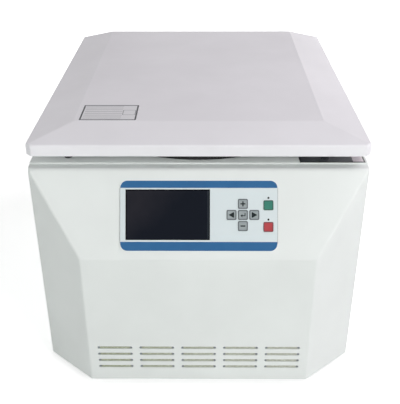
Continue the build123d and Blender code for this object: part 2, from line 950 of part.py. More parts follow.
def make_strikers():
    """Hanging plates with a window for the lock bolt."""
    strikers = []
    for side in (-1, 1):
        x, thick, wide = strike_x(side), striker_thickness / 2, striker_width / 2
        along = (lock_y - wide, lock_y + wide)
        plate = block((x - thick, x + thick), along, (lid_bottom - striker_reach, lid_bottom))
        tip = [e for e in plate.edges().filter_by(Axis.X) if e.center().Z < lid_bottom - 1]
        plate = fillet(tip, striker_round)
        across = (x - striker_foot, x + striker_foot)
        foot = block(across, along, (lid_bottom - leaf_thickness, lid_bottom))
        window = striker_window / 2
        hole = block(across, (lock_y - window, lock_y + window),
                     (bolt_height - window, bolt_height + window))
        strikers.append(plate + foot - hole)
    return strikers


def make_lock_housings():
    housings = []
    for side in (-1, 1):
        reach = lock_side / 2
        middle = side * lock_x
        body = block((middle - reach, middle + reach), (lock_y - reach, lock_y + reach),
                     (deck_seat - lock_height, deck_seat))
        x, thick = strike_x(side), striker_thickness / 2 + striker_gap
        deep = striker_width / 2 + striker_gap
        slot = block((x - thick, x + thick), (lock_y - deep, lock_y + deep),
                     (lid_bottom - striker_reach - striker_gap, height))
        low, high = sorted((x - side * thick, bolt_start(side) + side * (bolt_length + bolt_end_gap)))
        bore = Rot(0, 90, 0) * Cylinder(bolt_radius + bolt_fit, high - low)
        housings.append(body - slot - Pos((low + high) / 2, lock_y, bolt_height) * bore)
    return housings


def bolt_start(side):
    """The end of the drawn-back bolt that faces the striker."""
    return strike_x(side) + side * (striker_thickness / 2 + striker_gap + bolt_rest_gap)


def make_bolt(side):
    bolt = Rot(0, 90, 0) * Cylinder(bolt_radius, bolt_length)
    bolt = chamfer(bolt.edges().filter_by(GeomType.CIRCLE), bolt_bevel)
    return Pos(bolt_start(side) + side * bolt_length / 2, lock_y, bolt_height) * bolt


# Hinges


def knuckle(x_low, x_high, seat, direction):
    """A hinge barrel joined to a leaf on the deck (direction -1) or under the lid (direction +1)."""
    barrel = Rot(0, 90, 0) * Cylinder(knuckle_radius, x_high - x_low)
    barrel = Pos((x_low + x_high) / 2, hinge_y, hinge_z) * barrel
    web = block((x_low, x_high), (hinge_y - knuckle_radius, hinge_y), sorted((seat, hinge_z)))
    leaf = block((x_low, x_high), (hinge_y - leaf_depth, hinge_y - knuckle_radius / 2),
                 sorted((seat, seat - direction * leaf_thickness)))
    return barrel + web + leaf


def leaf_span():
    return hinge_y - leaf_depth, hinge_y - knuckle_radius - leaf_clearance


def pin_bore(radius):
    return Rot(0, 90, 0) * Cylinder(radius, hinge_length + 2 * spill)


def hinge_places():
    reach = hinge_length / 2
    return [(side * hinge_spread - reach, side * hinge_spread + reach) for side in (-1, 1)]


def make_hinge_brackets():
    brackets = []
    for low, high in hinge_places():
        third = hinge_length / 3
        bracket = knuckle(low, low + third - knuckle_gap, deck_top, -1)
        bracket += knuckle(high - third + knuckle_gap, high, deck_top, -1)
        bracket += block((low, high), leaf_span(), (deck_top, deck_top + leaf_thickness))
        brackets.append(bracket - Pos((low + high) / 2, hinge_y, hinge_z) * pin_bore(pin_radius + pin_fit))
    return brackets


def make_hinge_leaves():
    leaves = []
    for low, high in hinge_places():
        third = hinge_length / 3
        leaf = knuckle(low + third, high - third, lid_bottom, 1)
        leaf += block((low, high), leaf_span(), (lid_bottom - leaf_thickness, lid_bottom))
        leaves.append(leaf - Pos((low + high) / 2, hinge_y, hinge_z) * pin_bore(pin_radius))
    return leaves


def make_hinge_pins():
    pin = Rot(0, 90, 0) * Cylinder(pin_radius, hinge_length)
    pin = chamfer(pin.edges().filter_by(GeomType.CIRCLE), pin_bevel)
    return [Pos((low + high) / 2, hinge_y, hinge_z) * pin for low, high in hinge_places()]


# Deck fittings


def buffer_places():
    front_pair = [(-buffer_x, left_buffer_y), (buffer_x, right_buffer_y)]
    return front_pair + [(-buffer_x, rear_buffer_y), (buffer_x, rear_buffer_y)]


def make_buffers():
    top = lid_bottom - seat_gap
    head = fillet(disc(buffer_radius, deck_top, top).edges().group_by(Axis.Z)[-1], buffer_round)
    stem = disc(buffer_stem_radius, deck_top - buffer_stem_length, deck_top)
    return [Pos(x, y, 0) * (head + stem) for x, y in buffer_places()]


def make_rating_plate():
    right = half - plate_side_gap
    low = seam + plate_front_gap
    return block((right - plate_width, right), (low, low + plate_depth),
                 (deck_top, deck_top + plate_thickness))


# Control panel


def make_facia():
    plate = on_panel(0, 0, 0, facia_thickness, RectangleRounded(facia_width, facia_height, facia_corner))
    window = Rectangle(screen_width + 2 * screen_gap, screen_height + 2 * screen_gap)
    cuts = [on_panel(screen_x, screen_y, -1, 2, window)]
    hole = RectangleRounded(key_side + 2 * key_gap, key_side + 2 * key_gap, key_corner + key_gap)
    cuts += [on_panel(x, y, -1, 2, hole) for x, y in key_places().values()]
    cuts += [on_panel(x, y, -1, 2, Circle(lamp_radius + lamp_gap)) for x, y in lamp_places()]
    return plate - cuts


def make_window():
    pane = Rectangle(screen_width, screen_height)
    return on_panel(screen_x, screen_y, 0, facia_thickness - screen_recess, pane)


def make_display_module():
    wide = screen_width + 2 * module_margin
    tall = screen_height + 2 * module_margin
    frame_box = on_panel(screen_x, screen_y, -skin - module_thickness, -skin, Rectangle(wide, tall))
    inset = screen_border + glass_margin
    glass = Rectangle(screen_width - 2 * inset, screen_height - 2 * inset)
    return frame_box + on_panel(screen_x, screen_y, -skin, -skin / 2, glass)


def board_face():
    """Height of the board's component side over the slope."""
    return -skin - board_depth


def make_control_board():
    face = board_face()
    board = on_panel(0, 0, face - board_thickness, face, Rectangle(board_width, board_height))
    stem_end = -key_slack - key_flange_thickness - key_stem
    switch_top = stem_end - key_travel - switch_gap
    switch = Rectangle(switch_side, switch_side)
    switches = [on_panel(x, y, face, switch_top, switch) for x, y in key_places().values()]
    spots = corner_points(board_width / 2 - pillar_inset, board_height / 2 - pillar_inset)
    pillars = [on_panel(x, y, face, -skin, Circle(pillar_radius)) for x, y in spots]
    back = face - board_thickness
    across = [chip_middle + chip_pitch * (i - (chip_count - 1) / 2) for i in range(chip_count)]
    chips = [on_panel(x, 0, back - chip_thickness, back, Rectangle(chip_width, chip_height)) for x in across]
    return [board] + switches + pillars + chips


def make_key(x, y):
    """A cap through the facia, with a flange that holds it in and a stem to its switch."""
    top = facia_thickness + key_rise
    under = -key_slack
    cap = on_panel(x, y, under, top, RectangleRounded(key_side, key_side, key_corner))
    cap = chamfer(cap.faces().sort_by(Axis(slope_middle, slope_out))[-1].edges(), key_bevel)
    flange_side = key_side + 2 * key_flange
    flange = on_panel(x, y, under - key_flange_thickness, under, Rectangle(flange_side, flange_side))
    stem = on_panel(x, y, under - key_flange_thickness - key_stem, under, Circle(key_stem_radius))
    return cap + flange + stem


def make_lamps():
    top = facia_thickness + lamp_rise
    return [on_panel(x, y, board_face(), top, Circle(lamp_radius)) for x, y in lamp_places()]


def make_filter():
    """A foam pad behind the vents, held by their edges."""
    wide = (vent_columns - 1) * vent_pitch_x + vent_length + filter_margin
    tall = (vent_rows - 1) * vent_pitch_z + vent_height + 2 * filter_margin
    inner = front + skin
    return block((-wide / 2, wide / 2), (inner, inner + filter_thickness),
                 (vent_centre_height - tall / 2, vent_centre_height + tall / 2))


# Electronics


def make_drive_unit():
    wide, long = drive_width / 2, drive_length / 2
    floor = base_top + fin_height
    case = block((-wide, wide), (-long, long), (floor, base_top + drive_height))
    case = fillet(case.edges().group_by(Axis.Z)[-1], drive_round)
    pitch = (drive_width - fin_thickness) / (fin_count - 1)
    fins = [
        block((-wide + pitch * i, -wide + pitch * i + fin_thickness), (-long, long), (base_top, floor))
        for i in range(fin_count)
    ]
    return Pos(drive_x, drive_y, 0) * (case + fins)


def make_power_supply():
    wide, long = supply_width / 2, supply_length / 2
    top = base_top + supply_height
    case = block((-wide, wide), (-long, long), (base_top, top))
    reach = wide - supply_slot_margin
    starts = [-long + supply_slot_start + supply_slot_pitch * i for i in range(supply_slots)]
    cut_height = (top - supply_slot_depth, top + spill)
    slots = [block((-reach, reach), (y, y + supply_slot_width), cut_height) for y in starts]
    reach = wide - terminal_margin
    terminals = block((-reach, reach), (-long - terminal_depth, -long),
                      (base_top, base_top + terminal_height))
    return Pos(supply_x, supply_y, 0) * (case - slots + terminals)


# Rear fittings


def at_fan(solid):
    """Turn a solid modelled about +Z to point inwards at the fan, from the rear panel's inner face."""
    return Pos(fan_x, rear - skin, fan_z) * Rot(90, 0, 0) * solid


def make_fan_frame():
    side = fan_side / 2
    frame_box = block((-side, side), (-side, side), (0, fan_depth))
    frame_box = fillet(frame_box.edges().filter_by(Axis.Z), fan_corner)
    frame_box -= disc(fan_bore_radius, -spill, fan_depth + spill)
    hole = disc(screw_radius + screw_fit, -spill, fan_depth + spill)
    frame_box -= [Pos(x, y, 0) * hole for x, y in corner_points(fan_pitch / 2, fan_pitch / 2)]
    seat = disc(fan_hub_radius, fan_depth - fan_web, fan_depth)
    wide = fan_strut / 2
    strut = block((0, fan_bore_radius + spill), (-wide, wide), (fan_depth - fan_web, fan_depth))
    struts = [Rot(0, 0, 45 + 90 * i) * strut for i in range(4)]
    axle = disc(fan_axle_radius, fan_axle_start, fan_depth)
    return at_fan(frame_box + seat + struts + axle)


def make_impeller():
    low, high = impeller_inset, fan_depth - fan_web - impeller_gap
    hub = fillet(disc(fan_hub_radius, low, high).edges().group_by(Axis.Z)[0], impeller_round)
    hub -= disc(fan_axle_radius + shaft_fit, fan_axle_start, high + spill)
    reach = fan_bore_radius - fan_tip_gap
    swept = ring(reach, fan_hub_radius - spill, low + impeller_gap, high - impeller_gap)
    blade = Box(reach - fan_hub_radius + 2 * fan_blade_root, fan_blade_thickness, 2 * fan_depth)
    blade = Pos((reach + fan_hub_radius) / 2, 0, (low + high) / 2) * Rot(fan_blade_angle, 0, 0) * blade
    blades = [Rot(0, 0, 360 / fan_blades * i) * (blade & swept) for i in range(fan_blades)]
    return at_fan(hub + blades)


def make_fan_guard():
    """A welded wire guard: spokes against the panel, rings on them, and an eye under each outer fan screw."""
    gap = fan_bore_radius / guard_rings
    spoke_z = guard_wire + guard_lift
    ring_z = spoke_z + 2 * guard_wire - guard_overlap
    diagonal = hypot(fan_pitch / 2, fan_pitch / 2)
    eye_bore = screw_head_radius + screw_fit
    reach = diagonal - eye_bore - guard_eye / 2
    spoke = Pos((reach + gap / 2) / 2, 0, spoke_z) * Rot(0, 90, 0) * Cylinder(guard_wire, reach - gap / 2)
    guard = Pos(0, 0, ring_z) * Torus(gap - guard_wire, guard_wire)
    for i in range(1, guard_rings):
        guard += Pos(0, 0, ring_z) * Torus(gap * (i + 1) - guard_wire, guard_wire)
    for i in range(4):
        guard += Rot(0, 0, 45 + 90 * i) * spoke
    eye = ring(eye_bore + guard_eye, eye_bore, 0, guard_eye_thickness)
    for x, y in corner_points(fan_pitch / 2, fan_pitch / 2):
        guard += Pos(x, y, 0) * eye
    return Pos(fan_x, rear, fan_z) * Rot(-90, 0, 0) * guard


def make_power_inlet():
    """A panel module: appliance socket below, rocker switch above."""
    wide, tall = inlet_width / 2, inlet_height / 2
    rim = fillet(block((-wide, wide), (0, inlet_rim), (-tall, tall)).edges().filter_by(Axis.Y), inlet_corner)
    body = block((-inlet_body_width / 2, inlet_body_width / 2), (-inlet_body_depth, 0),
                 (-inlet_body_height / 2, inlet_body_height / 2))
    socket = block((-socket_width / 2, socket_width / 2), (inlet_rim - socket_depth, inlet_rim + spill),
                   (-inlet_drop - socket_height / 2, -inlet_drop + socket_height / 2))
    upper = [e for e in socket.edges().filter_by(Axis.Y) if e.center().Z > -inlet_drop]
    socket = chamfer(upper, socket_bevel)
    side = rocker_width / 2 + rocker_side_gap
    well = block((-side, side), (inlet_rim - rocker_well, inlet_rim + spill),
                 (rocker_rise - rocker_length / 2 - rocker_gap, rocker_rise + rocker_length / 2 + rocker_gap))
    floor = inlet_rim - socket_depth
    blade = block((-blade_width / 2, blade_width / 2), (floor - spill, floor + blade_length),
                  (-blade_height / 2, blade_height / 2))
    low, high = -inlet_drop - blade_stagger, -inlet_drop + blade_stagger
    places = [(-blade_spread, low), (0, high), (blade_spread, low)]
    module = rim + body - socket - well
    module += [Pos(x, 0, z) * blade for x, z in places]
    return Pos(inlet_x, rear, inlet_z) * module


def make_rocker():
    """A rocker at rest in its off place, tilted about its pivot."""
    long = rocker_length / 2
    wide, thick = rocker_width / 2, rocker_thickness / 2
    body = block((-wide, wide), (-thick, thick), (-long, long))
    body = fillet(body.edges().filter_by(Axis.X), rocker_round)
    middle = inlet_rim - rocker_thickness / 2 - rocker_sink
    return Pos(inlet_x, rear + middle, inlet_z + rocker_rise) * Rot(-rocker_tilt, 0, 0) * body


def save(name, shape):
    """Write one node: a solid, or a group of separate solids."""
    shapes = shape if isinstance(shape, list) else [shape]
    solids = [solid for one in shapes for solid in one.solids()]
    export_step(solids[0] if len(solids) == 1 else Compound(solids), f"parts/{name}.step")


def build():
    shell = cabinet_shell()
    nodes = {
        "base_plate": make_base_plate(),
        "rubber_feet": make_feet(),
        "cabinet_screws": make_screws(),
        "front_cover": make_front_cover(shell),
        "left_side_panel": make_side_panel(shell, -1),
        "right_side_panel": make_side_panel(shell, 1),
        "rear_panel": make_rear_panel(),
        "top_deck": make_top_deck(),
        "frame_posts": make_posts(),
        "chamber_shelf": make_shelf(),
        "chamber_bowl": make_bowl(),
        "chamber_gasket": make_gasket(),
        "heater_band": make_heater(),
        "armour_ring": make_armour(),
        "temperature_probe": make_probe(),
        "shaft_boot": make_boot(),
        "motor_housing": make_motor_housing(),
        "motor_stator": make_stator(),
        "motor_bearings": make_bearings(),
        "motor_dampers": make_dampers(),
        "drive_unit": make_drive_unit(),
        "power_supply": make_power_supply(),
        "control_board": make_control_board(),
        "display_module": make_display_module(),
        "keypad_facia": make_facia(),
        "display_window": make_window(),
        "status_lamps": make_lamps(),
        "intake_filter": make_filter(),
        "rating_plate": make_rating_plate(),
        "lid_buffers": make_buffers(),
        "lock_housings": make_lock_housings(),
        "hinge_brackets": make_hinge_brackets(),
        "fan_frame": make_fan_frame(),
        "fan_guard": make_fan_guard(),
        "power_inlet": make_power_inlet(),
        "motor_shaft": make_shaft(),
        "rotor_hub": make_hub(),
        "rotor_dish": make_dish(),
        "tube_sleeves": make_sleeves(),
        "sleeve_cushions": make_cushions(),
        "sleeve_hoop": make_hoop(),
        "rotor_knob": make_knob(),
        "lid_shell": make_lid_shell(),
        "lid_liner": make_lid_liner(),
        "seal_plate": make_seal_plate(),
        "lid_strikers": make_strikers(),
        "lid_label": make_lid_label(),
        "hinge_leaves": make_hinge_leaves(),
        "hinge_pins": make_hinge_pins(),
        "fan_impeller": make_impeller(),
        "lock_bolt_left": make_bolt(-1),
        "lock_bolt_right": make_bolt(1),
        "power_rocker": make_rocker(),
    }
    nodes.update({name: make_key(x, y) for name, (x, y) in key_places().items()})
    return nodes


os.makedirs("parts", exist_ok=True)
for node, shape in build().items():
    save(node, shape)
print(f"slope {slope_length:.1f} mm, hinge axis y {hinge_y:.2f} z {hinge_z:.2f}, panel middle {slope_middle}")
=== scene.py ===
import json
import math

import bmesh
import bpy
from mathutils import Euler, Matrix, Vector


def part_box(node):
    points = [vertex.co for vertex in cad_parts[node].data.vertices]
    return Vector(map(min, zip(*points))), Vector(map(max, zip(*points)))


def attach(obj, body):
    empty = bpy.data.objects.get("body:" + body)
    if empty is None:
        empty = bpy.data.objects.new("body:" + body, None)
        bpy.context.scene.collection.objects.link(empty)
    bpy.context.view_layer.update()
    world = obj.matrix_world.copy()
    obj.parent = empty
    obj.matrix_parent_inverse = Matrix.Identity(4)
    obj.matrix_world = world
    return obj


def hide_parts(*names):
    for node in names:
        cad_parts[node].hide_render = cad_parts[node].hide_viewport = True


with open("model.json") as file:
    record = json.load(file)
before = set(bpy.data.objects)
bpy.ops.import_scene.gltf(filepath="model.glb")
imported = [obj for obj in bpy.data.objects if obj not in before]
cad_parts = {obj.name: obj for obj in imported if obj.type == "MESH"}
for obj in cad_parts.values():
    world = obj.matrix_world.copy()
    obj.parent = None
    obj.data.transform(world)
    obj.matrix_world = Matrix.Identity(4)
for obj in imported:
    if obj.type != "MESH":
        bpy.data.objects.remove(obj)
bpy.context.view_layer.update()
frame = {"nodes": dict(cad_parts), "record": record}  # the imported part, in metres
nodes = frame["nodes"]
mm = 0.001
white = (1.0, 1.0, 1.0, 1.0)
print("frame loaded:", len(nodes), "nodes")


# Camera, lamps and floor

cameraView = {"place": (0.0102, -1.0245, 0.7265), "down": 29.32, "turn": 0.57, "roll": -0.22, "lens": 60.99}

studio = {
    "worldStrength": 0.18,
    "backdropStrength": 1.0,  # what the camera and reflections see of the world
    "lamps": {
        # name: place, point it looks at, width, depth, watts, colour
        "leftLamp": ((-1.3, -1.85, 1.15), (0.0, 0.0, 0.25), 0.8, 0.5, 12.8, (0.95, 1.0, 0.965)),
        "rightLamp": ((1.3, -1.85, 1.15), (0.0, 0.0, 0.25), 0.8, 0.5, 20.8, (0.975, 1.0, 0.97)),
        "topLamp": ((1.35, -0.25, 2.0), (0.0, 0.0, 0.25), 1.3, 1.3, 20.2, (1.0, 0.93, 1.0)),
        "sideLamp": ((-2.1, 1.2, 0.3), (0.0, 0.0, 0.15), 1.2, 0.5, 12.0, (1.0, 1.0, 1.0)),
        "backLamp": ((0.4, 2.4, 0.28), (0.0, 0.0, 0.15), 1.6, 0.45, 20.0, (1.0, 1.0, 1.0)),
    },
    "floorSize": 14.0,
    "floorColour": (0.93, 0.93, 0.93, 1),
    "floorRough": 0.9,
    "floorGloss": 0.1,
    "floorGlow": (0.58, 1.0),  # near the object and far from it
    "floorFade": (0.45, 1.5),  # metres from the middle
}


def makeCamera():
    data = bpy.data.cameras.new("camera")
    data.lens = cameraView["lens"]
    camera = bpy.data.objects.new("camera", data)
    angles = (math.radians(90 - cameraView["down"]), 0, math.radians(cameraView["turn"]))
    aim = Euler(angles).to_matrix().to_4x4()
    roll = Matrix.Rotation(math.radians(cameraView["roll"]), 4, "Z")
    camera.matrix_world = Matrix.Translation(cameraView["place"]) @ aim @ roll
    bpy.context.scene.collection.objects.link(camera)
    bpy.context.scene.camera = camera


def makeWorld():
    world = bpy.data.worlds.new("studio")
    bpy.context.scene.world = world
    world.use_nodes = True
    tree = world.node_tree
    tree.nodes.clear()
    path = tree.nodes.new("ShaderNodeLightPath").outputs
    seen = maths(tree, "MAXIMUM", path["Is Camera Ray"], path["Is Glossy Ray"])
    seen = maths(tree, "MAXIMUM", seen, path["Is Transmission Ray"])
    ambient = addNode(
        tree, "ShaderNodeBackground", {"Color": white, "Strength": studio["worldStrength"]})
    backdrop = addNode(
        tree, "ShaderNodeBackground", {"Color": white, "Strength": studio["backdropStrength"]})
    mix = addNode(tree, "ShaderNodeMixShader", {0: seen, 1: ambient.outputs[0], 2: backdrop.outputs[0]})
    addNode(tree, "ShaderNodeOutputWorld", {"Surface": mix.outputs[0]})


def makeLamps():
    for name, (place, target, wide, deep, watts, colour) in studio["lamps"].items():
        data = bpy.data.lights.new(name, "AREA")
        data.shape = "RECTANGLE"
        data.size, data.size_y = wide, deep
        data.energy = watts
        data.color = colour
        lamp = bpy.data.objects.new(name, data)
        lamp.location = place
        lamp.rotation_mode = "QUATERNION"
        lamp.rotation_quaternion = (Vector(target) - Vector(place)).to_track_quat("-Z", "Y")
        bpy.context.scene.collection.objects.link(lamp)


def makeFloor():
    mesh = bpy.data.meshes.new("floor")
    reach = studio["floorSize"] / 2
    corners = [(-reach, -reach, 0), (reach, -reach, 0), (reach, reach, 0), (-reach, reach, 0)]
    mesh.from_pydata(corners, [], [(0, 1, 2, 3)])
    floor = bpy.data.objects.new("floor", mesh)
    bpy.context.scene.collection.objects.link(floor)
    material, tree, shader = newMaterial(
        "pale floor", Base_Color=studio["floorColour"], Roughness=studio["floorRough"],
        Specular_IOR_Level=studio["floorGloss"], Emission_Color=white)
    path = tree.nodes.new("ShaderNodeLightPath")
    away = addNode(tree, "ShaderNodeVectorMath", {0: objectPoint(tree)}, operation="LENGTH").outputs["Value"]
    level = remap(tree, away, *studio["floorFade"], *studio["floorGlow"], smooth=True)
    glow = maths(tree, "MULTIPLY", path.outputs["Is Camera Ray"], level)
    join(tree, shader.inputs["Emission Strength"], glow)
    mesh.materials.append(material)


# Node helpers


def join(tree, target, value):
    # a socket is linked, anything else becomes the socket's own value
    if isinstance(value, bpy.types.NodeSocket):
        tree.links.new(value, target)
    else:
        target.default_value = value


def addNode(tree, kind, inputs=None, **settings):
    node = tree.nodes.new(kind)
    for key, value in settings.items():
        setattr(node, key, value)
    for key, value in (inputs or {}).items():
        join(tree, node.inputs[key], value)
    return node


def maths(tree, operation, *values, clamp=False):
    node = addNode(tree, "ShaderNodeMath", operation=operation, use_clamp=clamp)
    for socket, value in zip(node.inputs, values):
        join(tree, socket, value)
    return node.outputs[0]


def remap(tree, value, low, high, newLow=0.0, newHigh=1.0, smooth=False):
    node = addNode(tree, "ShaderNodeMapRange", interpolation_type="SMOOTHSTEP" if smooth else "LINEAR")
    keys = ("Value", "From Min", "From Max", "To Min", "To Max")
    for key, given in zip(keys, (value, low, high, newLow, newHigh)):
        join(tree, node.inputs[key], given)
    return node.outputs[0]


def rgba(colour, factor=1.0, lift=0.0):
    # a colour made lighter or darker, never past white, with its alpha
    return (*(min(1.0, factor * c + lift) for c in colour), 1)


def mixColour(tree, factor, first, second, blend="MIX"):
    # a plain colour is given as three numbers, or as a socket
    node = addNode(tree, "ShaderNodeMix", data_type="RGBA", blend_type=blend)
    join(tree, node.inputs[0], factor)
    for place, colour in ((6, first), (7, second)):
        plain = not isinstance(colour, bpy.types.NodeSocket) and len(colour) == 3
        join(tree, node.inputs[place], rgba(colour) if plain else colour)
    return node.outputs[2]


def objectPoint(tree):
    return tree.nodes.new("ShaderNodeTexCoord").outputs["Object"]


def noise(tree, point, scale, detail=2.0, roughness=0.5):
    inputs = {"Vector": point, "Scale": scale, "Detail": detail, "Roughness": roughness}
    return addNode(tree, "ShaderNodeTexNoise", inputs).outputs["Fac"]


def cellTexture(tree, point, scale, feature):
    node = addNode(tree, "ShaderNodeTexVoronoi", {"Vector": point, "Scale": scale}, feature=feature)
    return node.outputs["Distance"]


def vectorMaths(tree, operation, first, second):
    return addNode(tree, "ShaderNodeVectorMath", {0: first, 1: second}, operation=operation)


def distance(tree, x, y):
    squares = maths(tree, "ADD", maths(tree, "POWER", x, 2.0), maths(tree, "POWER", y, 2.0))
    return maths(tree, "SQRT", squares)


def splitPoint(tree, point):
    return addNode(tree, "ShaderNodeSeparateXYZ", {0: point}).outputs


def pointFrom(tree, middle, axes):
    # how far the surface lies from a middle, along each of the axes named
    part = splitPoint(tree, objectPoint(tree))
    return [maths(tree, "SUBTRACT", part[axis], getattr(middle, axis.lower())) for axis in axes]


def roundedBoxDistance(tree, x, y, halfWide, halfTall, corner):
    # distance outside a rounded rectangle centred on zero, negative inside
    dx = maths(tree, "SUBTRACT", maths(tree, "ABSOLUTE", x), halfWide - corner)
    dy = maths(tree, "SUBTRACT", maths(tree, "ABSOLUTE", y), halfTall - corner)
    length = distance(tree, maths(tree, "MAXIMUM", dx, 0.0), maths(tree, "MAXIMUM", dy, 0.0))
    inside = maths(tree, "MINIMUM", maths(tree, "MAXIMUM", dx, dy), 0.0)
    return maths(tree, "SUBTRACT", maths(tree, "ADD", length, inside), corner)


def below(tree, value, limit, soft=0.04 * mm):
    # 1 where value is under the limit, with a printed edge's small softness
    return remap(tree, value, limit - soft, limit + soft, 1.0, 0.0)


def newMaterial(name, **constants):
    material = bpy.data.materials.new(name)
    material.use_nodes = True
    shader = material.node_tree.nodes["Principled BSDF"]
    for socket, value in constants.items():
        shader.inputs[socket.replace("_", " ")].default_value = value
    return material, material.node_tree, shader


def dress(tree, shader, colour, rough, height, relief):
    # relief is how tall the bumps are, in metres
    join(tree, shader.inputs["Base Color"], colour)
    join(tree, shader.inputs["Roughness"], rough)
    bump = addNode(tree, "ShaderNodeBump", {"Strength": 1.0, "Distance": relief, "Height": height})
    join(tree, shader.inputs["Normal"], bump.outputs[0])


def varied(tree, mask, least, added):
    return maths(tree, "MULTIPLY_ADD", mask, added, least)


def newGroup(name, inputs, outputs):
    tree = bpy.data.node_groups.new(name, "ShaderNodeTree")
    for socket, (kind, value) in inputs.items():
        made = tree.interface.new_socket(name=socket, in_out="INPUT", socket_type=kind)
        made.default_value = value
    for socket, kind in outputs.items():
        tree.interface.new_socket(name=socket, in_out="OUTPUT", socket_type=kind)
    return tree, tree.nodes.new("NodeGroupInput").outputs, tree.nodes.new("NodeGroupOutput")


def effect(tree, group, **inputs):
    node = tree.nodes.new("ShaderNodeGroup")
    node.node_tree = group
    for key, value in inputs.items():
        join(tree, node.inputs[key], value)
    return node.outputs


# Shared surface effects

floatSocket = "NodeSocketFloat"
vectorSocket = "NodeSocketVector"


def makePowderCoat():
    # the faint orange peel of baked powder, and a slow drift of tone
    tree, given, out = newGroup(
        "powderCoat", {"Scale": (floatSocket, 650.0)}, {"Height": floatSocket, "Drift": floatSocket})
    point = objectPoint(tree)
    peel = noise(tree, point, given["Scale"], roughness=0.45)
    fine = noise(tree, point, maths(tree, "MULTIPLY", given["Scale"], 4.2), detail=1.0)
    join(tree, out.inputs["Height"], maths(tree, "MULTIPLY_ADD", fine, 0.25, peel))
    join(tree, out.inputs["Drift"], noise(tree, point, scale=7.0, detail=3.0, roughness=0.6))
    return tree


def makeEdgeWear():
    # finds convex and concave edges by comparing a rounded normal with the true one
    tree, given, out = newGroup(
        "edgeWear",
        {"Radius": (floatSocket, 0.001), "Amount": (floatSocket, 1.0), "Breakup": (floatSocket, 180.0)},
        {"Mask": floatSocket})
    soft = addNode(tree, "ShaderNodeBevel", {"Radius": given["Radius"]}, samples=4)
    true = tree.nodes.new("ShaderNodeNewGeometry")
    dot = vectorMaths(tree, "DOT_PRODUCT", soft.outputs[0], true.outputs["Normal"])
    edge = remap(tree, dot.outputs["Value"], low=0.99, high=0.8)
    patches = noise(tree, objectPoint(tree), given["Breakup"], detail=4.0, roughness=0.65)
    mask = maths(tree, "MULTIPLY", edge, remap(tree, patches, low=0.42, high=0.62))
    join(tree, out.inputs["Mask"], maths(tree, "MULTIPLY", mask, given["Amount"], clamp=True))
    return tree


def makeSettledDust():
    # lies on what faces up, in patches
    tree, given, out = newGroup(
        "settledDust", {"Amount": (floatSocket, 0.3), "Scale": (floatSocket, 30.0)}, {"Mask": floatSocket})
    normal = tree.nodes.new("ShaderNodeNewGeometry").outputs["Normal"]
    upward = remap(tree, splitPoint(tree, normal)["Z"], low=0.3, high=1.0)
    patches = noise(tree, objectPoint(tree), given["Scale"], detail=5.0, roughness=0.7)
    mask = maths(tree, "MULTIPLY", upward, remap(tree, patches, low=0.35, high=0.8))
    join(tree, out.inputs["Mask"], maths(tree, "MULTIPLY", mask, given["Amount"], clamp=True))
    return tree


def makeSmudges():
    # wiped areas and finger marks, for the gloss
    tree, given, out = newGroup("smudges", {"Scale": (floatSocket, 14.0)}, {"Mask": floatSocket})
    point = objectPoint(tree)
    wave = noise(tree, point, given["Scale"], detail=3.0, roughness=0.6)
    slant = {"Vector": point, "Scale": (1.0, 5.0, 5.0), "Rotation": (0.3, 0.2, 0.5)}
    streak = addNode(tree, "ShaderNodeMapping", slant)
    wiped = noise(tree, streak.outputs[0], given["Scale"], detail=4.0, roughness=0.7)
    wide, long = remap(tree, wave, low=0.4, high=0.65), remap(tree, wiped, low=0.4, high=0.7)
    join(tree, out.inputs["Mask"], maths(tree, "MULTIPLY", wide, long))
    return tree


def makeTurnedGrain():
    # fine rings about an upright axis, as a lathe or spinning tool leaves them
    tree, given, out = newGroup(
        "turnedGrain", {"Axis": (vectorSocket, (0, 0, 0)), "Lines": (floatSocket, 1400.0)},
        {"Height": floatSocket, "Streak": floatSocket})
    point = vectorMaths(tree, "SUBTRACT", objectPoint(tree), given["Axis"])
    part = splitPoint(tree, point.outputs[0])
    radius = distance(tree, part["X"], part["Y"])
    along = addNode(tree, "ShaderNodeCombineXYZ", {"X": radius, "Y": part["Z"], "Z": 0.0}).outputs[0]
    join(tree, out.inputs["Height"], noise(tree, along, given["Lines"], roughness=0.6))
    wide = maths(tree, "MULTIPLY", given["Lines"], 0.12)
    join(tree, out.inputs["Streak"], noise(tree, along, wide, detail=3.0, roughness=0.65))
    return tree


def makeBrushedGrain():
    # straight lines along whichever axis is given the small stretch
    tree, given, out = newGroup(
        "brushedGrain", {"Stretch": (vectorSocket, (0.02, 1.0, 1.0)), "Lines": (floatSocket, 1500.0)},
        {"Height": floatSocket, "Streak": floatSocket})
    point = vectorMaths(tree, "MULTIPLY", objectPoint(tree), given["Stretch"]).outputs[0]
    join(tree, out.inputs["Height"], noise(tree, point, given["Lines"], roughness=0.6))
    wide = maths(tree, "MULTIPLY", given["Lines"], 0.15)
    join(tree, out.inputs["Streak"], noise(tree, point, wide, detail=3.0))
    return tree


def makeMouldGrain():
    # the spark-eroded texture of moulded plastic and rubber
    tree, given, out = newGroup(
        "mouldGrain", {"Scale": (floatSocket, 1800.0)}, {"Height": floatSocket, "Tone": floatSocket})
    point = objectPoint(tree)
    cells = cellTexture(tree, point, given["Scale"], "SMOOTH_F1")
    fine = noise(tree, point, given["Scale"])
    join(tree, out.inputs["Height"], maths(tree, "MULTIPLY_ADD", cells, 0.7, fine))
    join(tree, out.inputs["Tone"], noise(tree, point, scale=40.0, detail=4.0, roughness=0.6))
    return tree


